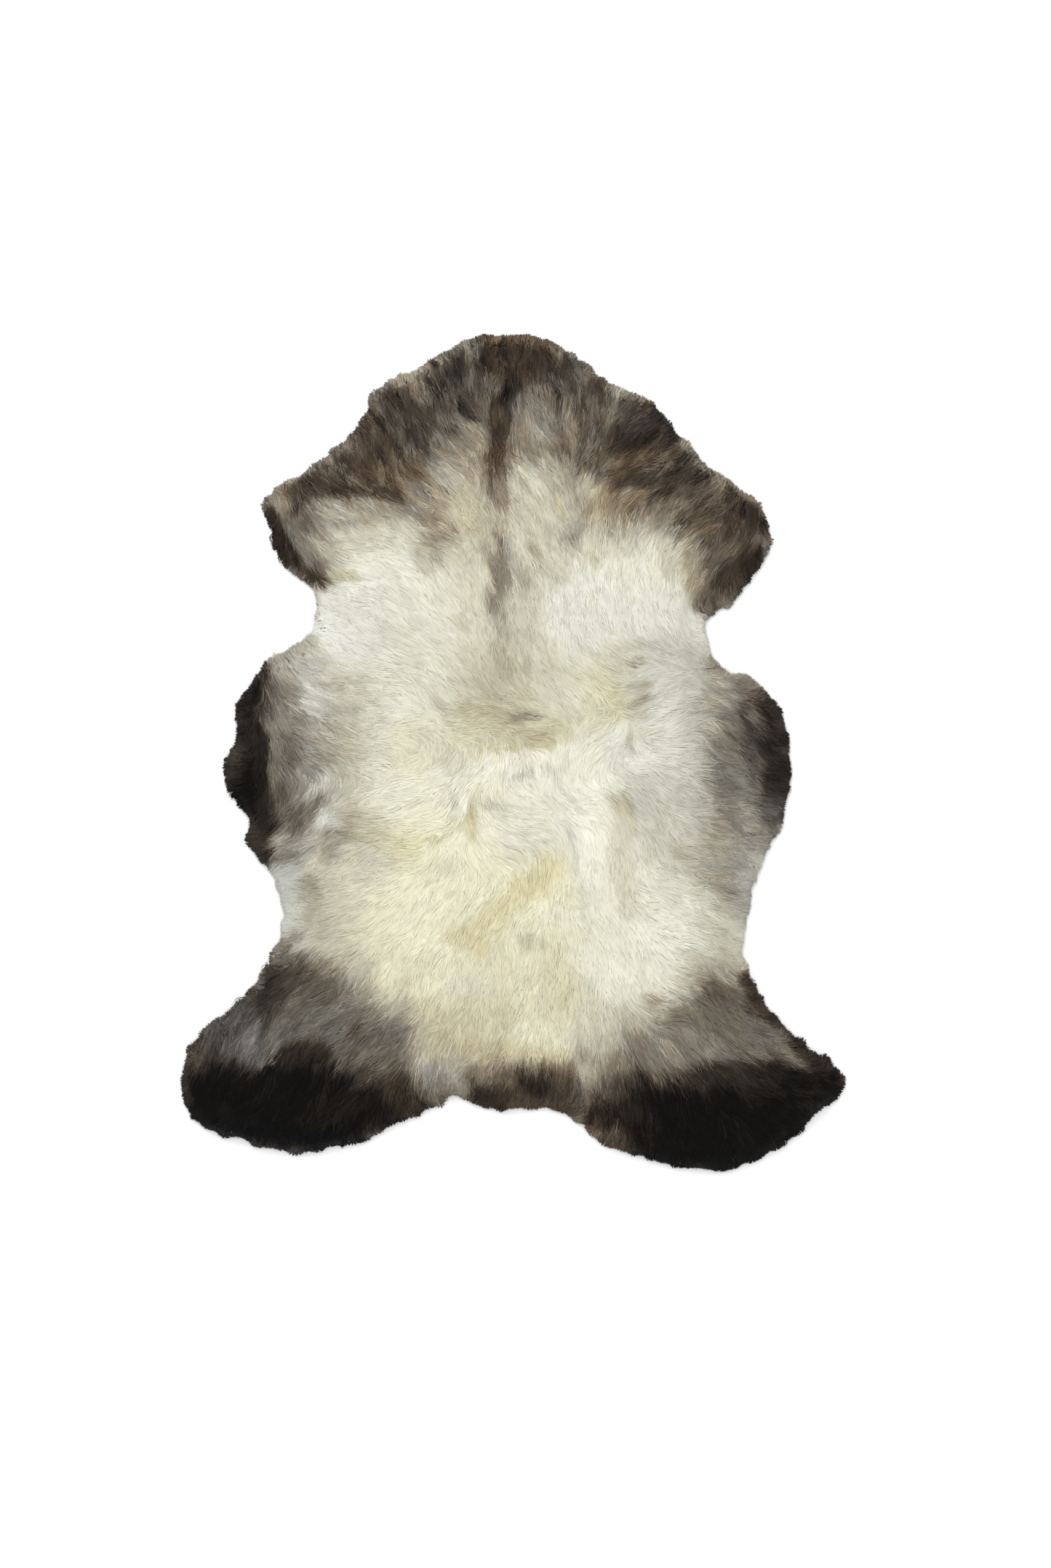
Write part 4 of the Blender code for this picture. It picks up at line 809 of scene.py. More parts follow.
class Pelt:
    """The pelt's shape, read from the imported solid: how high its wool is, how far inside its
    rim a spot lies, the way out from there, and the lie of its wool."""

    def __init__(self):
        low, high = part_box(NODE)
        self.west = low.x - SHAPE_MARGIN
        self.south = low.y - SHAPE_MARGIN
        self.columns = int((high.x - low.x + 2 * SHAPE_MARGIN) / SHAPE_CELL) + 1
        self.rows = int((high.y - low.y + 2 * SHAPE_MARGIN) / SHAPE_CELL) + 1
        self.x = self.west + SHAPE_CELL * np.arange(self.columns)
        self.y = self.south + SHAPE_CELL * np.arange(self.rows)
        top = self.feel(high.z)
        wool = ~np.isnan(top)
        wool |= self.way_to(self.way_to(wool) > LOCK_GAP) > LOCK_GAP
        self.inside = blurred(np.where(wool, self.way_to(~wool), -self.way_to(wool)), 1)
        x, y = np.meshgrid(self.x, self.y)
        for across, down, width, out in RIM:
            spot_x, spot_y = on_rug(across, down)
            gap = np.hypot(x - spot_x, y - spot_y) / (width * PICTURE_STEP)
            self.inside += out * PICTURE_STEP * np.exp(-gap * gap)
        up, right = np.gradient(self.inside, SHAPE_CELL)
        steep = np.maximum(np.hypot(up, right), TINY)
        self.out = (-right / steep, -up / steep)
        self.height = self.rounded(top)
        self.comb()

    def feel(self, ceiling):
        """The height of the solid under each spot of the grid."""
        solid = welded_solid()
        tree = BVHTree.FromBMesh(solid)
        solid.free()
        top = np.full((self.rows, self.columns), np.nan)
        down = Vector((0, 0, -1))
        for row, y in enumerate(self.y):
            for column, x in enumerate(self.x):
                spot = tree.ray_cast(Vector((x, y, ceiling + MM)), down)[0]
                if spot is not None:
                    top[row, column] = spot.z
        return top

    def way_to(self, mask):
        """The distance from each spot of the grid to the nearest one in the mask."""
        edge = np.zeros_like(mask)
        edge[1:, :] |= mask[1:, :] & ~mask[:-1, :]
        edge[:-1, :] |= mask[:-1, :] & ~mask[1:, :]
        edge[:, 1:] |= mask[:, 1:] & ~mask[:, :-1]
        edge[:, :-1] |= mask[:, :-1] & ~mask[:, 1:]
        spots = np.argwhere(edge)
        tree = kdtree.KDTree(len(spots))
        for number, (row, column) in enumerate(spots):
            tree.insert((self.x[column], self.y[row], 0.0), number)
        tree.balance()
        way = np.zeros(mask.shape)
        for row, column in np.argwhere(~mask):
            way[row, column] = tree.find((self.x[column], self.y[row], 0.0))[2]
        return way

    def rounded(self, top):
        """The height of the wool's surface, which falls to the floor along the rim."""
        known = ~np.isnan(top)
        weight = known.astype(float)
        height = np.where(known, top, 0.0)
        for _ in range(GAP_ROUNDS):
            height = blurred(height, 1)
            weight = blurred(weight, 1)
            height = np.where(known, top, height / np.maximum(weight, TINY))
            weight = np.where(weight > TINY, 1.0, 0.0)
            height *= weight
        height = blurred(height, SURFACE_ROUNDS)
        x, y = np.meshgrid(self.x, self.y)
        missing = np.clip(RIM_BAND - self.inside, 0.0, RIM_BAND)
        crest = self.read(height, x - self.out[0] * missing, y - self.out[1] * missing)
        share = np.sin(np.clip(self.inside / RIM_BAND, 0.0, 1.0) * math.pi / 2) ** RIM_CURVE
        return np.where(missing > 0, RIM_TIP_HEIGHT + (crest - RIM_TIP_HEIGHT) * share, height)

    def read(self, values, x, y):
        """The value of a grid at some spots, from the four around each."""
        across = np.clip((x - self.west) / SHAPE_CELL, 0, self.columns - GRID_END)
        along = np.clip((y - self.south) / SHAPE_CELL, 0, self.rows - GRID_END)
        column = across.astype(int)
        row = along.astype(int)
        right = across - column
        up = along - row
        low = values[row, column] * (1 - right) + values[row, column + 1] * right
        high = values[row + 1, column] * (1 - right) + values[row + 1, column + 1] * right
        return low * (1 - up) + high * up

    def read_one(self, values, spot):
        """The value of a grid at one spot."""
        return float(self.read(values, np.array(spot.x), np.array(spot.y)))

    def comb(self):
        """Lays out the way in which the wool's tips point, from the spots where it is known,
        and how far it is out of order. Where it points out, it turns square to the rim."""
        x, y = np.meshgrid(self.x, self.y)
        lie_x = np.zeros_like(x)
        lie_y = np.zeros_like(x)
        known = np.zeros_like(x)
        for across, down, bearing in LIE:
            spot_x, spot_y = on_rug(across, down)
            weight = 1.0 / ((x - spot_x) ** 2 + (y - spot_y) ** 2 + LIE_REACH ** 2) ** 2
            lie_x += weight * math.cos(math.radians(bearing))
            lie_y += weight * math.sin(math.radians(bearing))
            known += weight
        size = np.maximum(np.hypot(lie_x, lie_y), TINY)
        self.astray = 1.0 - ease((size / known - LIE_ORDER[0]) / LIE_ORDER[1])
        lie_x /= size
        lie_y /= size
        along = lie_x * self.out[0] + lie_y * self.out[1]
        reach = risen(RIM_TURN, np.clip(along, 0.0, 1.0))
        agrees = ease((along - RIM_AIM[0]) / RIM_AIM[1])
        out = ease(1.0 - (self.inside - RIM_TURN_START) / reach) * agrees
        lie_x += (self.out[0] - lie_x) * out
        lie_y += (self.out[1] - lie_y) * out
        size = np.maximum(np.hypot(lie_x, lie_y), TINY)
        self.lie = (lie_x / size, lie_y / size)
        self.root_inset = risen(ROOT_INSET, agrees)

    def bearing(self, x, y, ways):
        """The way in which the tips point at some spots, in radians."""
        return np.arctan2(self.read(ways[1], x, y), self.read(ways[0], x, y))

    def scattered(self, spacing, fringe, rng):
        """Spots spread evenly over the pelt, or only along its rim, each moved by chance."""
        x, y = np.meshgrid(np.arange(self.x[0], self.x[-1], spacing),
                           np.arange(self.y[0], self.y[-1], spacing))
        x = (x + rng.uniform(-0.5, 0.5, x.shape) * spacing).ravel()
        y = (y + rng.uniform(-0.5, 0.5, y.shape) * spacing).ravel()
        inside = self.read(self.inside, x, y)
        if fringe:
            kept = (inside > FRINGE_BAND[0]) & (inside < FRINGE_BAND[1])
        else:
            kept = inside > self.read(self.root_inset, x, y) + rng.normal(0, MM, x.shape)
        return x[kept], y[kept]


class Locks:
    """Locks of wool: spots on the pelt whose wisps share a lean, a turn, a lift and a colour."""

    def __init__(self, pelt, spacing, stretch, rng):
        self.stretch = stretch
        self.west = pelt.x[0] - spacing
        self.south = pelt.y[0] - spacing
        self.spacing = spacing
        self.columns = int((pelt.x[-1] - self.west) / spacing) + 3
        rows = int((pelt.y[-1] - self.south) / spacing) + 3
        x, y = np.meshgrid(self.west + spacing * np.arange(self.columns),
                           self.south + spacing * np.arange(rows))
        self.x = (x + rng.uniform(-LOCK_SCATTER, LOCK_SCATTER, x.shape) * spacing).ravel()
        self.y = (y + rng.uniform(-LOCK_SCATTER, LOCK_SCATTER, y.shape) * spacing).ravel()
        self.lean = rng.normal(0.0, 1.0, self.x.shape)
        self.turn = rng.normal(0.0, 1.0, self.x.shape)
        self.lift = rng.uniform(-1.0, 1.0, self.x.shape)
        self.tone = rng.normal(0.0, 1.0, self.x.shape)
        self.rust = rng.normal(0.0, 1.0, self.x.shape)

    def nearest(self, x, y, bearing):
        """The number of the lock that each spot belongs to. A lock is longer along the bearing
        of its wool than across it."""
        along_x = np.cos(bearing)
        along_y = np.sin(bearing)
        column = np.rint((x - self.west) / self.spacing).astype(int)
        row = np.rint((y - self.south) / self.spacing).astype(int)
        best = np.full(x.shape, np.inf)
        lock = np.zeros(x.shape, int)
        for down in range(-2, 3):
            for right in range(-2, 3):
                number = (row + down) * self.columns + column + right
                number = np.clip(number, 0, len(self.x) - 1)
                way_x = self.x[number] - x
                way_y = self.y[number] - y
                ahead = (way_x * along_x + way_y * along_y) / self.stretch
                aside = way_y * along_x - way_x * along_y
                gap = ahead ** 2 + aside ** 2
                closer = gap < best
                best = np.where(closer, gap, best)
                lock = np.where(closer, number, lock)
        return lock


def mixture(pigment):
    """How far wool of this pigment is a mixture of light and dark fibres."""
    light = ease((MIXED_TO[0] - pigment) / MIXED_TO[1])
    return ease((pigment - MIXED_FROM[0]) / MIXED_FROM[1]) * light


class Coat:
    """The wool's colouring over the pelt: its natural colours, with some painted shade in creases,
    troughs and under tips.
    """

    def __init__(self):
        self.drift_x = Ripple(*DRIFT, SEED + 1)
        self.drift_y = Ripple(*DRIFT, SEED + 2)
        self.fine_x = Ripple(*FINE_DRIFT, SEED + 3)
        self.fine_y = Ripple(*FINE_DRIFT, SEED + 4)
        self.cloud = Ripple(*CLOUD, SEED + 5)
        self.glow = Ripple(*GLOW, SEED + 6)
        self.patch = Ripple(*PATCH, SEED + 7)
        self.fleck = Ripple(*FLECK, SEED + 8)
        self.rust = Ripple(*RUST, SEED + 9)

    def at(self, x, y, astray_x=0.0, astray_y=0.0):
        """The pigment and the warmth of the wool at some spots. Broad tints are strewn from
        wisp to wisp; small ones stay nearly in place."""
        drift_x = self.drift_x.at(x, y) + self.fine_x.at(x, y)
        drift_y = self.drift_y.at(x, y) + self.fine_y.at(x, y)
        pigment = np.full(x.shape, CREAM_PIGMENT) + self.cloud.at(x, y)
        warmth = np.full(x.shape, CREAM_WARMTH) + self.glow.at(x, y)
        for from_x, from_y, to_x, to_y, half, soft, dark, warm, strength in TINTS:
            start_x, start_y = on_rug(from_x, from_y)
            end_x, end_y = on_rug(to_x, to_y)
            broad = soft > SMALL_TINT
            moved = 1.0 if broad else SMALL_DRIFT
            spot_x = x + (drift_x + astray_x) * moved
            spot_y = y + (drift_y + astray_y) * moved
            edge = soft * (BROAD_SOFTNESS if broad else SMALL_SOFTNESS)
            run_x = end_x - start_x
            run_y = end_y - start_y
            length = max(run_x * run_x + run_y * run_y, TINY)
            ahead = (spot_x - start_x) * run_x + (spot_y - start_y) * run_y
            along = np.clip(ahead / length, 0, 1)
            gap = np.hypot(spot_x - start_x - along * run_x, spot_y - start_y - along * run_y)
            share = strength * ease(0.5 - (gap / PICTURE_STEP - half - soft / 2) / edge)
            pigment += (dark - pigment) * share
            warmth += (warm - warmth) * share
        mixed = mixture(pigment) * self.lively(y)
        pigment += mixed * (self.patch.at(x, y) + self.fleck.at(x, y))
        warmth += risen(COAT_RUST, mixed) * self.rust.at(x, y)
        return pigment, warmth

    def lively(self, y):
        """How much the wool's colour changes from lock to lock at some spots."""
        return LEAST_LIVELY + (1 - LEAST_LIVELY) * ease((y - LIVELY_FROM) / LIVELY_OVER)


class Wire:
    """A number in a material's nodes, so that a sum on it adds its Math nodes."""

    def __init__(self, finish, socket):
        self.finish = finish
        self.socket = socket

    def sum(self, operation, first, second):
        settings = {"operation": operation}
        return self.finish.node("ShaderNodeMath", settings, {0: first, 1: second}).out(0)

    def __add__(self, other):
        return self.sum("ADD", self, other)

    def __radd__(self, other):
        return self.sum("ADD", other, self)

    def __sub__(self, other):
        return self.sum("SUBTRACT", self, other)

    def __rsub__(self, other):
        return self.sum("SUBTRACT", other, self)

    def __mul__(self, other):
        return self.sum("MULTIPLY", self, other)

    def __rmul__(self, other):
        return self.sum("MULTIPLY", other, self)


class Step:
    """One node of a finish, whose outputs are read by number or by name."""

    def __init__(self, finish, node):
        self.finish = finish
        self.node = node

    def out(self, name):
        return Wire(self.finish, self.node.outputs[name])


class Finish:
    """A material under construction."""

    def __init__(self, name):
        self.material = bpy.data.materials.new(name)
        self.material.use_nodes = True
        self.tree = self.material.node_tree
        self.tree.nodes.clear()

    def node(self, kind, settings, sockets):
        """Adds a node: its settings come first, then the values or links of its sockets."""
        node = self.tree.nodes.new(kind)
        for key, value in settings.items():
            if key == "stops":
                while len(node.color_ramp.elements) < len(value):
                    node.color_ramp.elements.new(1.0)
                for element, (place, colour) in zip(node.color_ramp.elements, value):
                    element.position = place
                    element.color = (*colour, 1.0)
            else:
                setattr(node, key, value)
        for key, value in sockets.items():
            if isinstance(value, Wire):
                self.tree.links.new(value.socket, node.inputs[key])
            else:
                node.inputs[key].default_value = value
        return Step(self, node)

    def number(self, name):
        """A number that the mesh carries at each of its corners."""
        return self.node("ShaderNodeAttribute", {"attribute_name": name}, {}).out("Fac")

    def ramp(self, share, depths, colours):
        """A colour that runs through some others, each at its depth."""
        stops = tuple((depth, tuple(colour)) for depth, colour in zip(depths, colours))
        return self.node("ShaderNodeValToRGB", {"stops": stops}, {0: share}).out(0)

    def surfaced(self, sockets):
        """The finished material, with the surface that its sockets give."""
        surface = self.node("ShaderNodeBsdfPrincipled", {}, sockets).out(0)
        self.node("ShaderNodeOutputMaterial", {}, {"Surface": surface})
        return self.material


def wool_finish(looks):
    """Wool: cream to black by its pigment, with fine streaks along the strands."""
    finish = Finish("sheep_wool")
    pigment = finish.number("pigment")
    warmth = finish.number("warmth")
    along = finish.number("along")
    strand = finish.node("ShaderNodeUVMap", {"uv_map": "strand"}, {}).out(0)
    drawn = finish.node("ShaderNodeMapping", {}, {
        "Vector": strand, "Scale": STREAK_DRAW}).out(0)
    streak = finish.node("ShaderNodeTexNoise", {}, {
        "Vector": drawn, "Scale": 1.0, "Detail": 2.0, "Roughness": 0.6}).out("Fac") - 0.5
    mottle = pigment * (1 - pigment) * MOTTLE[1] + MOTTLE[0]
    # The root is painted darker and warmer: partly the wool's own colour, partly painted shade under the
    # strands above it.
    depth = pigment + streak * mottle + (1 - along) * ROOT_TONE_AND_PAINTED_SHADE
    cool = finish.ramp(depth, WOOL_DEPTHS, (
        looks.white, looks.silver, looks.grey, looks.slate, looks.charcoal, looks.black))
    warm = finish.ramp(depth, WOOL_DEPTHS, (
        looks.cream, looks.straw, looks.tan, looks.brown, looks.umber, looks.soot))
    share = warmth + (1 - along) * ROOT_WARMTH_AND_PAINTED_SHADE
    colour = finish.node("ShaderNodeMix", {"data_type": "RGBA"}, {
        0: share, 6: cool, 7: warm}).out(2)
    bump = finish.node("ShaderNodeBump", {}, {
        "Strength": 0.15, "Distance": 0.2 * MM, "Height": streak}).out(0)
    return finish.surfaced({
        "Base Color": colour,
        "Roughness": 0.62 + streak * 0.2,
        "Specular IOR Level": 0.06,
        "Normal": bump,
    })


def hide_finish(looks):
    """Tanned skin: pale suede with a fine nap, soft cloudy stains and small wrinkles."""
    finish = Finish("tanned_skin")
    place = finish.node("ShaderNodeTexCoord", {}, {}).out("Object")
    cloud = finish.node("ShaderNodeTexNoise", {}, {
        "Vector": place, "Scale": 9.0, "Detail": 4.0, "Roughness": 0.55}).out("Fac")
    nap = finish.node("ShaderNodeTexNoise", {}, {
        "Vector": place, "Scale": 900.0, "Detail": 3.0, "Roughness": 0.7}).out("Fac")
    wrinkle = finish.node("ShaderNodeTexVoronoi", {"feature": "DISTANCE_TO_EDGE"}, {
        "Vector": place, "Scale": 55.0}).out("Distance")
    shade = cloud * 0.8 + nap * 0.2
    colour = finish.ramp(shade, SKIN_DEPTHS, (looks.skin_dark, looks.skin, looks.skin_light))
    height = nap * 0.6 + wrinkle * 0.4
    bump = finish.node("ShaderNodeBump", {}, {
        "Strength": 0.5, "Distance": 0.4 * MM, "Height": height}).out(0)
    return finish.surfaced({
        "Base Color": colour,
        "Roughness": 0.8 + nap * 0.15,
        "Specular IOR Level": 0.2,
        "Normal": bump,
    })


def floor_finish():
    """The stage's plain pale floor."""
    return Finish("pale_floor").surfaced({
        "Base Color": (*paint(*FLOOR_SHOWN), 1.0),
        "Roughness": 0.9,
        "Specular IOR Level": 0.0,
    })


def placed(mesh, finish):
    """Puts a mesh in the scene as a piece that stands for the pelt."""
    mesh.materials.append(finish)
    piece = bpy.data.objects.new(mesh.name, mesh)
    bpy.context.scene.collection.objects.link(piece)
    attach(piece, BODY)
    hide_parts(NODE)
    return piece


def meshed(shape, name):
    """The smooth mesh of a finished shape."""
    mesh = bpy.data.meshes.new(name)
    shape.to_mesh(mesh)
    shape.free()
    smoothed(mesh)
    return mesh


def smoothed(mesh):
    """Shades a mesh smooth."""
    mesh.polygons.foreach_set("use_smooth", np.ones(len(mesh.polygons), bool))


def carry(mesh, name, values):
    """Lays a number on each corner point of a mesh."""
    numbers = mesh.attributes.new(name, "FLOAT", "POINT").data
    numbers.foreach_set("value", values.astype(np.float32).ravel())


def charted(mesh, name, places):
    """Gives a mesh a UV map."""
    mesh.uv_layers.new(name=name).data.foreach_set("uv", places.astype(np.float32).ravel())


def followed(pelt, layer, x, y, lean, turn, reach):
    """The path of each wisp from its root along the lie of the wool."""
    ways = pelt.out if layer.piece == FRINGE else pelt.lie
    path_x = [x]
    path_y = [y]
    for here, there in zip(layer.steps[:-1], layer.steps[1:]):
        bearing = pelt.bearing(path_x[-1], path_y[-1], ways) + lean + turn * (here + there - 1.0)
        path_x.append(path_x[-1] + reach * (there - here) * np.cos(bearing))
        path_y.append(path_y[-1] + reach * (there - here) * np.sin(bearing))
    return np.stack(path_x, -1), np.stack(path_y, -1)


class Wisps(NamedTuple):
    """The wisps of a layer: their middle lines with the axes wisp and step, the way from each
    one's root to its tip, how long that is, how far to the side of its lock's middle its root
    stands, and the number of its lock."""

    path_x: np.ndarray
    path_y: np.ndarray
    way_x: np.ndarray
    way_y: np.ndarray
    size: np.ndarray
    aside: np.ndarray
    lock: np.ndarray


def laid_wisps(pelt, locks, sizes, layer, rng):
    """The wisps of a layer as they lie on the pelt, each fitted to end at the rim."""
    fringe = layer.piece == FRINGE
    x, y = pelt.scattered(layer.spacing, fringe, rng)
    wisps = len(x)
    lie = pelt.bearing(x, y, pelt.out if fringe else pelt.lie)
    lock = locks.nearest(x + rng.normal(0, MM, wisps), y + rng.normal(0, MM, wisps), lie)
    lean = math.radians(layer.lean) * rng.normal(0, 1, wisps)
    lean += (FRINGE_LOCK_LEAN if fringe else LOCK_LEAN) * locks.lean[lock]
    if not fringe:
        lean += Ripple(*SWAY, SEED + 20).at(x, y)
        lean += ASTRAY_LEAN * pelt.read(pelt.astray, x, y) * rng.normal(0, 1, wisps)
    turn = WISP_TURN * rng.normal(0, 1, wisps) + LOCK_TURN * locks.turn[lock]
    reach = layer.length * rng.uniform(*WISP_REACH, wisps)
    edge = rng.uniform(*TIP_INSET, wisps) - HIGH_LOCK_OUT * locks.lift[lock]
    root = pelt.read(pelt.inside, x, y)
    most = MOST_FRINGE_FIT if fringe else 1.0
    for _ in range(FIT_ROUNDS):
        path_x, path_y = followed(pelt, layer, x, y, lean, turn, reach)
        tip = pelt.read(pelt.inside, path_x[:, -1], path_y[:, -1])
        share = np.clip((root - edge) / np.maximum(root - tip, TINY), LEAST_FIT, most)
        fitted = np.clip(reach * share, LEAST_WISP, MOST_WISP * layer.length)
        reach = np.where((tip < edge) | fringe, fitted, reach)
    path_x, path_y = followed(pelt, layer, x, y, lean, turn, reach)
    steps = np.array(layer.steps)
    way_x = path_x[:, -1] - path_x[:, 0]
    way_y = path_y[:, -1] - path_y[:, 0]
    size = np.maximum(np.hypot(way_x, way_y), TINY)
    pace = rng.uniform(*WAVES, (wisps, 1)) * steps + rng.uniform(0, 1, (wisps, 1))
    wave = sizes.wave * rng.normal(0, 1, (wisps, 1)) * np.sin(2 * math.pi * pace)
    aside = ((locks.y[lock] - y) * way_x - (locks.x[lock] - x) * way_y) / size
    gather = sizes.lock_gather * (FRINGE_GATHER if fringe else 1.0)
    wave = wave + (gather * aside)[:, None] * steps ** LOCK_CURVE
    path_x = path_x - (way_y / size)[:, None] * wave
    path_y = path_y + (way_x / size)[:, None] * wave
    return Wisps(path_x, path_y, way_x, way_y, size, aside, lock)


def strand_paths(pelt, locks, sizes, layer, rng):
    """The middle line of each strand of a layer: places with the axes wisp, strand, step and
    xyz, each strand's roll, and the number of each wisp's lock."""
    path_x, path_y, way_x, way_y, size, aside, lock = laid_wisps(pelt, locks, sizes, layer, rng)
    many = (len(lock), sizes.strands_per_wisp)
    steps = np.array(layer.steps)
    spread = np.sqrt(rng.uniform(0, 1, many)) * layer.wisp_width / 2
    angle = rng.uniform(0, 2 * math.pi, many)
    off_x = spread * np.cos(angle)
    off_y = spread * np.sin(angle)
    held = 1.0 - layer.gather * steps ** WISP_CURVE
    slide = rng.uniform(*STRAND_REACH, (*many, 1))
    stray = rng.normal(0, STRAND_STRAY, (*many, 1)) * steps
    x = path_x[:, None, :1] + (path_x[:, None, :] - path_x[:, None, :1]) * slide
    y = path_y[:, None, :1] + (path_y[:, None, :] - path_y[:, None, :1]) * slide
    x = x + off_x[:, :, None] * held - way_y[:, None, None] * stray
    y = y + off_y[:, :, None] * held + way_x[:, None, None] * stray
    side = off_x * (-way_y / size)[:, None] + off_y * (way_x / size)[:, None]
    side = side / (layer.wisp_width / 2)
    inland = ease(pelt.read(pelt.inside, x, y) / CLOSE_BAND)
    surface = pelt.read(pelt.height, x, y)
    crown = 1 - np.clip(aside / (CROWN_REACH * sizes.lock_spacing), -1, 1) ** 2
    lift = layer.lift + layer.lift_spread * rng.normal(0, 1, len(lock))
    lift = lift + LOCK_LIFT * locks.lift[lock] + LOCK_CROWN * crown
    own = WISP_CROWN * (1 - side ** 2) + STRAND_LIFT * rng.normal(0, 1, many)
    above = (lift[:, None] + own)[:, :, None] * ease(steps * RISE)
    if layer.piece == FRINGE:
        depth = rng.uniform(0.0, FRINGE_DEPTH, (*many, 1))
        z = surface * (1 - depth * ease(1 - steps * FRINGE_RISE))
    else:
        dip = sizes.root_depth * (1 - steps) ** DIP_CURVE
        dip = dip * (CLOSE_DIP + (1 - CLOSE_DIP) * inland)
        z = surface - np.minimum(dip, MOST_DIP * surface)
    z = np.maximum(z + above * (CLOSE_LIFT + (1 - CLOSE_LIFT) * inland), LOWEST_MIDDLE)
    roll = SIDE_ROLL * side + STRAND_ROLL * rng.normal(0, 1, many)
    return np.stack((x, y, z), -1), roll, lock


def strand_corners(path, roll, layer, rng):
    """The corners of each strand: two at each of its cross sections, and one at its tip."""
    pairs = len(layer.widths)
    ahead = np.gradient(path[..., :2], axis=2)
    ahead /= np.maximum(np.linalg.norm(ahead, axis=-1, keepdims=True), TINY)
    flat = np.cos(roll)[:, :, None]
    half = layer.width * rng.uniform(*STRAND_WIDTH, roll.shape)[:, :, None]
    half = half * np.array(layer.widths) / 2
    side = np.stack((
        -ahead[:, :, :pairs, 1] * flat * half,
        ahead[:, :, :pairs, 0] * flat * half,
        np.sin(roll)[:, :, None] * half,
    ), -1)
    corners = np.empty((*roll.shape, 2 * pairs + 1, 3))
    corners[:, :, 0:-1:2] = path[:, :, :pairs] + side
    corners[:, :, 1:-1:2] = path[:, :, :pairs] - side
    corners[:, :, -1] = path[:, :, -1]
    corners[..., 2] = np.maximum(corners[..., 2], LOWEST_CORNER)
    return corners


def strand_faces(pairs):
    """The faces of one strand over its corners: a strip of pairs that ends in a point."""
    faces = [(2 * i, 2 * i + 1, 2 * i + 3, 2 * i + 2) for i in range(pairs - 1)]
    return faces + [(2 * pairs - 2, 2 * pairs - 1, 2 * pairs)]


def strand_colours(locks, coat, layer, path, lock, rng):
    """The pigment and the warmth at each step of each strand."""
    wisps, count = path.shape[:2]
    astray = rng.normal(0, WISP_ASTRAY, (2, wisps, 1, 1))
    astray = astray + rng.normal(0, STRAND_ASTRAY, (2, wisps, count, 1))
    if layer.piece == FRINGE:
        astray *= FRINGE_ASTRAY
    here = coat.at(path[..., 0], path[..., 1], astray[0], astray[1])
    part = rng.uniform(*OWN_PART, (wisps, 1))
    part = part + rng.uniform(-OWN_PART_SPREAD, OWN_PART_SPREAD, (wisps, count))
    part = np.clip(part, *OWN_PART_ENDS)
    steps = np.array(layer.steps)
    before = np.searchsorted(steps, part, side="right") - 1
    share = ((part - steps[before]) / (steps[before + 1] - steps[before]))[..., None]

    def blended(values):
        low = np.take_along_axis(values, before[..., None], 2)
        high = np.take_along_axis(values, before[..., None] + 1, 2)
        return OWN_COLOUR * (low + (high - low) * share) + (1 - OWN_COLOUR) * values

    pigment, warmth = (blended(values) for values in here)
    mixed = mixture(pigment)
    lively = mixed * coat.lively(path[..., 1])
    tone = locks.tone[lock][:, None, None]
    rust = locks.rust[lock][:, None, None]
    by_wisp = rng.normal(0, 1, (wisps, 1, 1))
    by_strand = rng.normal(0, 1, (wisps, count, 1))
    pigment = pigment + tone * risen(LOCK_TONE, lively) + by_wisp * risen(WISP_TONE, mixed)
    pigment = pigment + by_strand * risen(STRAND_TONE, mixed)
    warmth = warmth + risen(LOCK_RUST, lively) * rust
    warmth = warmth + risen(WISP_RUST, lively) * rng.normal(0, 1, (wisps, 1, 1))
    warmth = warmth + risen(STRAND_RUST, lively) * rng.normal(0, 1, (wisps, count, 1))
    return pigment, warmth


def baking_cells(x, y):
    """A cell for each strand in a square sheet, filled row by row, so that strands which stand
    near each other on the rug lie near each other there."""
    cells = math.ceil(math.sqrt(len(x)))
    place = np.arange(len(x))
    row = np.empty(len(x), int)
    row[np.argsort(y, kind="stable")] = place // cells
    column = np.empty(len(x), int)
    column[np.lexsort((x, row))] = place % cells
    return column, row, cells


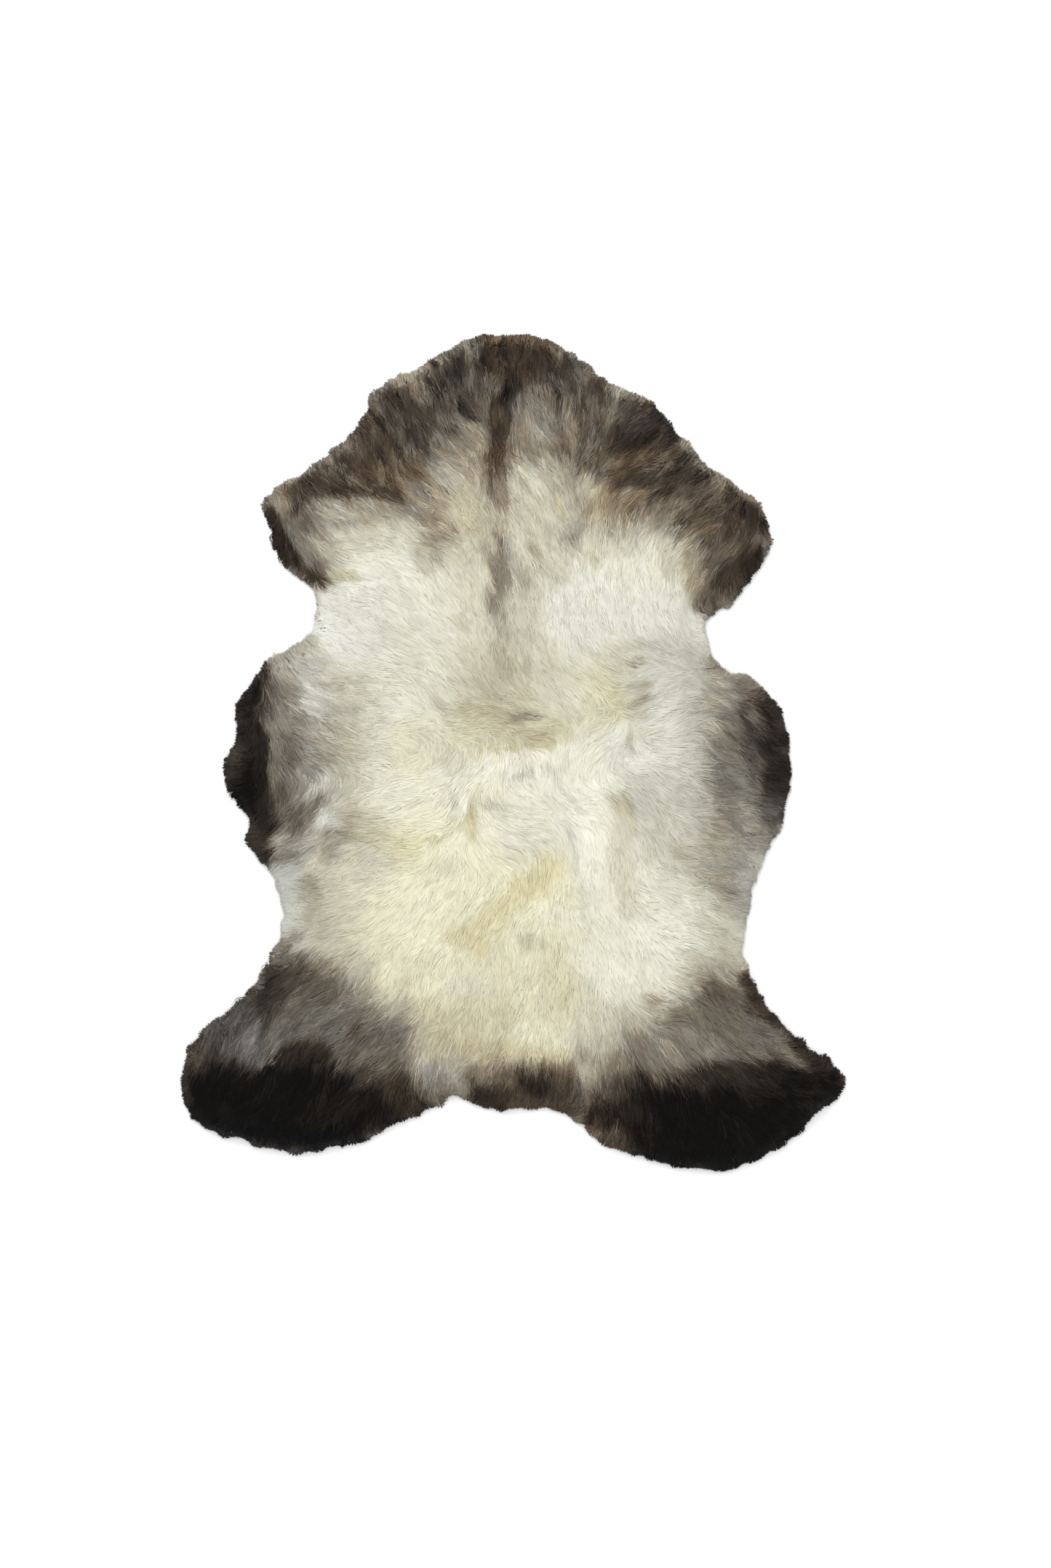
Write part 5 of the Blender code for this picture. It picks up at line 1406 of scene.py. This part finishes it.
def wool_mesh(pelt, locks, coat, sizes, layer, rng):
    """The mesh of one layer of wool."""
    path, roll, lock = strand_paths(pelt, locks, sizes, layer, rng)
    corners = strand_corners(path, roll, layer, rng)
    colours = strand_colours(locks, coat, layer, path, lock, rng)
    pairs = len(layer.widths)
    faces = strand_faces(pairs)
    corner = np.concatenate(faces)
    starts = np.cumsum([0] + [len(face) for face in faces[:-1]])
    strand = np.arange(roll.size)[:, None]
    mesh = bpy.data.meshes.new(layer.piece)
    mesh.vertices.add(roll.size * corners.shape[2])
    mesh.vertices.foreach_set("co", corners.astype(np.float32).ravel())
    mesh.loops.add(roll.size * len(corner))
    mesh.loops.foreach_set(
        "vertex_index", (strand * corners.shape[2] + corner).astype(np.int32).ravel())
    mesh.polygons.add(roll.size * len(faces))
    mesh.polygons.foreach_set(
        "loop_start", (strand * len(corner) + starts).astype(np.int32).ravel())
    mesh.update(calc_edges=True)
    smoothed(mesh)
    at_corner = np.repeat(np.arange(len(layer.steps)), 2)[:-1]
    along = np.array(layer.steps)[at_corner]
    for label, values in zip(("pigment", "warmth"), colours):
        carry(mesh, label, np.clip(values[:, :, at_corner], 0, 1))
    carry(mesh, "along", np.tile(along, roll.size))
    across = np.array([0.0, 1.0] * pairs + [0.5])[corner]
    along = along[corner]
    start = rng.uniform(0, STREAK_SHEET, (roll.size, 2))
    charted(mesh, "strand", np.stack((
        start[:, :1] + across, start[:, 1:] + along * STREAK_LENGTH), -1))
    spot = path[:, :, -2, :2].reshape(-1, 2)
    column, row, cells = baking_cells(spot[:, 0], spot[:, 1])
    charted(mesh, "OFBake", np.stack((
        (column[:, None] + risen(CELL_ACROSS, across)) / cells,
        (row[:, None] + risen(CELL_ALONG, along)) / cells), -1))
    return mesh


def underwool_mesh(pelt, coat, sizes):
    """A low closed cushion under the strands, so that no gap between them shows the skin."""
    cell = sizes.underwool_cell
    low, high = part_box(NODE)
    across = int((high.x - low.x) / cell) + 2
    along = int((high.y - low.y) / cell) + 2
    shape = bmesh.new()
    bmesh.ops.create_grid(shape, x_segments=across, y_segments=along, size=0.5)
    middle = (low + high) / 2
    bmesh.ops.scale(shape, vec=(across * cell, along * cell, 1.0), verts=shape.verts)
    bmesh.ops.translate(shape, vec=(middle.x, middle.y, UNDERWOOL_BOTTOM), verts=shape.verts)
    outer = [face for face in shape.faces
             if pelt.read_one(pelt.inside, face.calc_center_median()) < sizes.underwool_inset]
    bmesh.ops.delete(shape, geom=outer, context="FACES")
    for vert in shape.verts:
        if vert.is_boundary:
            gap = pelt.read_one(pelt.inside, vert.co) - sizes.underwool_inset
            out_x, out_y = (pelt.read_one(values, vert.co) for values in pelt.out)
            vert.co.x += out_x * gap
            vert.co.y += out_y * gap
    grown = bmesh.ops.extrude_face_region(shape, geom=shape.faces[:], use_keep_orig=True)
    for vert in [item for item in grown["geom"] if isinstance(item, bmesh.types.BMVert)]:
        height = pelt.read_one(pelt.height, vert.co) - sizes.underwool_drop
        vert.co.z = max(height, UNDERWOOL_LEAST)
    bmesh.ops.recalc_face_normals(shape, faces=shape.faces)
    mesh = meshed(shape, "underwool")
    places = np.empty(len(mesh.vertices) * 3)
    mesh.vertices.foreach_get("co", places)
    places = places.reshape(-1, 3)
    for label, values in zip(("pigment", "warmth"), coat.at(places[:, 0], places[:, 1])):
        carry(mesh, label, np.clip(values, 0, 1))
    # At this share along a strand the underwool takes part of the roots' darker, warmer colour and
    # painted shade.
    carry(mesh, "along", np.full(len(places), UNDERWOOL_ALONG))
    corners = np.empty(len(mesh.loops), np.int32)
    mesh.loops.foreach_get("vertex_index", corners)
    charted(mesh, "strand", places[corners][:, :2] / UNDERWOOL_STREAK)
    return mesh


def hide_mesh(sizes):
    """The tanned skin, cut to the outline of the solid's underside, and its area."""
    shape = welded_solid()
    flat = {face for face in shape.faces
            if face.normal.z < UNDERSIDE_AIM
            and max(vert.co.z for vert in face.verts) < UNDERSIDE_TOP}
    if not flat:
        shape.free()
        raise RuntimeError("the solid has no flat underside to cut the hide from")
    first = min(flat, key=lambda face: face.calc_center_median().length)
    skin = {first}
    fresh = [first]
    while fresh:
        face = fresh.pop()
        for edge in face.edges:
            for other in edge.link_faces:
                if other in flat and other not in skin:
                    skin.add(other)
                    fresh.append(other)
    rest = [face for face in shape.faces if face not in skin]
    bmesh.ops.delete(shape, geom=rest, context="FACES")
    grown = bmesh.ops.extrude_face_region(shape, geom=shape.faces[:], use_keep_orig=True)
    tops = [item for item in grown["geom"] if isinstance(item, bmesh.types.BMVert)]
    bmesh.ops.translate(shape, vec=(0, 0, sizes.hide_thickness), verts=tops)
    bmesh.ops.recalc_face_normals(shape, faces=shape.faces)
    rim = [edge for edge in shape.edges
           if len(edge.link_faces) == 2 and edge.calc_face_angle(0.0) > RIM_ANGLE
           and abs(edge.verts[0].co.z - edge.verts[1].co.z) < RIM_LEVEL]
    bmesh.ops.bevel(shape, geom=rim, offset=RIM_ROUNDING, offset_type="OFFSET", segments=2,
                    profile=0.5, affect="EDGES", material=-1)
    area = sum(face.calc_area() for face in shape.faces) / 2
    return meshed(shape, "hide"), area


class WoolSizes(PropertyGroup):
    """Sizes of the wool and of what it stands on."""

    strands_per_wisp: IntProperty(
        name="Strands per wisp", description="Strands that lie together in one wisp of a layer",
        default=3, min=1, max=20)
    lock_spacing: FloatProperty(
        name="Lock spacing", description="Distance between the middles of the locks",
        default=15 * MM, min=5 * MM, unit="LENGTH")
    lock_stretch: FloatProperty(
        name="Lock stretch",
        description="How much longer a lock's root is along the lie than across it",
        default=2.3, min=1.0, max=4.0)
    lock_gather: FloatProperty(
        name="Lock gather", description="How far a lock's wisps draw together towards their tips",
        default=0.28, min=0.0, max=1.0)
    wave: FloatProperty(
        name="Wave", description="How far a wisp waves to its sides",
        default=0.7 * MM, min=0.0, unit="LENGTH")
    root_depth: FloatProperty(
        name="Root depth", description="How far below the fleece's surface a strand starts",
        default=1.8 * MM, min=0.0, unit="LENGTH")
    underwool_cell: FloatProperty(
        name="Underwool cell", description="Size of a face of the cushion under the strands",
        default=8 * MM, min=3 * MM, unit="LENGTH")
    underwool_inset: FloatProperty(
        name="Underwool inset", description="How far inside the rug's rim that cushion ends",
        default=17 * MM, min=5 * MM, unit="LENGTH")
    underwool_drop: FloatProperty(
        name="Underwool drop", description="How far below the fleece's surface that cushion lies",
        default=1.3 * MM, min=1 * MM, unit="LENGTH")
    hide_thickness: FloatProperty(
        name="Hide thickness", description="Thickness of the tanned skin",
        default=2.5 * MM, min=0.5 * MM, unit="LENGTH")


def colour_choice(name, description, *shown):
    """A colour that a user can change, given as it shows on a screen."""
    return FloatVectorProperty(name=name, description=description, default=paint(*shown),
                               min=0.0, max=1.0, subtype="COLOR")


class WoolLooks(PropertyGroup):
    """Colours of the wool, cool and warm by its pigment, and of the skin."""

    white: colour_choice("White", "Cool wool with no pigment", 233, 233, 228)
    silver: colour_choice("Silver", "Cool wool with a little pigment", 193, 193, 187)
    grey: colour_choice("Grey", "Cool wool with half its pigment", 131, 130, 123)
    slate: colour_choice("Slate", "Cool dark wool", 69, 66, 62)
    charcoal: colour_choice("Charcoal", "Cool wool that is nearly black", 48, 44, 41)
    black: colour_choice("Black", "Cool black wool", 8, 8, 8)
    cream: colour_choice("Cream", "Warm wool with no pigment", 244, 241, 208)
    straw: colour_choice("Straw", "Warm wool with a little pigment", 208, 201, 164)
    tan: colour_choice("Tan", "Warm wool with half its pigment", 149, 132, 106)
    brown: colour_choice("Brown", "Warm dark wool", 84, 69, 51)
    umber: colour_choice("Umber", "Warm wool that is nearly black", 58, 46, 34)
    soot: colour_choice("Soot", "Warm black wool", 14, 10, 7)
    skin: colour_choice("Skin", "The tanned skin's flesh side", 214, 198, 170)
    skin_dark: colour_choice("Skin, dark", "The darker clouds on the skin", 186, 166, 136)
    skin_light: colour_choice("Skin, light", "The lighter clouds on the skin", 228, 216, 192)


class StageSizes(PropertyGroup):
    """The camera's place and the stage's lights."""

    lens: FloatProperty(
        name="Lens", description="Focal length of the camera in millimetres",
        default=85.0, min=20.0)
    floor: FloatProperty(
        name="Floor", description="Width of the floor", default=8.0, min=1.0, unit="LENGTH")
    sky: FloatProperty(
        name="Sky", description="Brightness of the even light from all round",
        default=1.12, min=0.0)
    lamp: FloatProperty(
        name="Lamp", description="Power of the soft lamp beyond the neck", default=30.0, min=0.0)


class RUG_OT_underwool(Operator):
    """Adds the low cushion of wool that the strands stand on"""

    bl_idname = "rug.underwool"
    bl_label = "Underwool"

    def execute(self, context):
        sizes = context.scene.rug_sizes
        placed(underwool_mesh(PELT, COAT, sizes), wool_finish(context.scene.rug_looks))
        return {"FINISHED"}


class RUG_OT_wool(Operator):
    """Adds the layers of wool, strand by strand"""

    bl_idname = "rug.wool"
    bl_label = "Wool"

    def execute(self, context):
        sizes = context.scene.rug_sizes
        rng = np.random.default_rng(SEED)
        locks = Locks(PELT, sizes.lock_spacing, sizes.lock_stretch, rng)
        finish = bpy.data.materials["sheep_wool"]
        for layer in LAYERS:
            placed(wool_mesh(PELT, locks, COAT, sizes, layer, rng), finish)
        return {"FINISHED"}


class RUG_OT_hide(Operator):
    """Adds the tanned skin under the wool"""

    bl_idname = "rug.hide"
    bl_label = "Hide"

    def execute(self, context):
        mesh, area = hide_mesh(context.scene.rug_sizes)
        hide = placed(mesh, hide_finish(context.scene.rug_looks))
        return {"FINISHED"}


class RUG_OT_stage(Operator):
    """Adds the floor, the light and the camera above the rug"""

    bl_idname = "rug.stage"
    bl_label = "Stage"

    def execute(self, context):
        scene = context.scene
        stage = scene.rug_stage
        shape = bmesh.new()
        bmesh.ops.create_grid(shape, x_segments=1, y_segments=1, size=stage.floor / 2)
        mesh = bpy.data.meshes.new("floor")
        shape.to_mesh(mesh)
        shape.free()
        mesh.materials.append(floor_finish())
        floor = bpy.data.objects.new("floor", mesh)
        scene.collection.objects.link(floor)
        world = bpy.data.worlds.new("studio")
        world.use_nodes = True
        sky = world.node_tree.nodes["Background"]
        sky.inputs["Color"].default_value = (1.0, 1.0, 1.0, 1.0)
        sky.inputs["Strength"].default_value = stage.sky
        scene.world = world
        lamp = bpy.data.lights.new("soft_lamp", "AREA")
        lamp.shape = "SQUARE"
        lamp.size = LAMP_SIZE
        lamp.energy = stage.lamp
        lamp_object = bpy.data.objects.new("soft_lamp", lamp)
        lamp_object.location = LAMP_PLACE
        aim = Vector((0, 0, 0)) - lamp_object.location
        lamp_object.rotation_euler = aim.to_track_quat("-Z", "Y").to_euler()
        scene.collection.objects.link(lamp_object)
        camera = bpy.data.cameras.new("camera")
        camera.lens = stage.lens
        camera.sensor_fit = "AUTO"
        camera.dof.use_dof = False
        across = (PICTURE_SIZE[0] / 2 - PICTURE_MIDDLE[0]) * PICTURE_STEP
        up = (PICTURE_MIDDLE[1] - PICTURE_SIZE[1] / 2) * PICTURE_STEP
        distance = PICTURE_SIZE[1] * PICTURE_STEP * camera.lens / camera.sensor_width
        camera_object = bpy.data.objects.new("camera", camera)
        camera_object.location = (across, up, distance)
        scene.collection.objects.link(camera_object)
        scene.camera = camera_object
        scene.view_settings.view_transform = "Standard"
        return {"FINISHED"}


class RUG_PT_panel(Panel):
    """The rug's sizes and its steps"""

    bl_idname = "RUG_PT_panel"
    bl_label = "Sheepskin rug"
    bl_space_type = "VIEW_3D"
    bl_region_type = "UI"
    bl_category = "Sheepskin"

    def draw(self, context):
        column = self.layout.column()
        for group in (context.scene.rug_sizes, context.scene.rug_looks, context.scene.rug_stage):
            for name in group.__annotations__:
                column.prop(group, name)
        for operator in STEPS:
            column.operator(operator.bl_idname)


STEPS = (RUG_OT_underwool, RUG_OT_wool, RUG_OT_hide, RUG_OT_stage)
GROUPS = (("rug_sizes", WoolSizes), ("rug_looks", WoolLooks), ("rug_stage", StageSizes))
PELT = Pelt()
COAT = Coat()


def register():
    for _, group in GROUPS:
        bpy.utils.register_class(group)
    for step in (*STEPS, RUG_PT_panel):
        bpy.utils.register_class(step)
    for name, group in GROUPS:
        setattr(bpy.types.Scene, name, PointerProperty(type=group))


def unregister():
    for name, _ in GROUPS:
        delattr(bpy.types.Scene, name)
    for step in (RUG_PT_panel, *reversed(STEPS)):
        bpy.utils.unregister_class(step)
    for _, group in reversed(GROUPS):
        bpy.utils.unregister_class(group)


def main():
    register()
    bpy.ops.rug.underwool()
    bpy.ops.rug.wool()
    bpy.ops.rug.hide()
    bpy.ops.rug.stage()


if __name__ == "__main__":
    main()
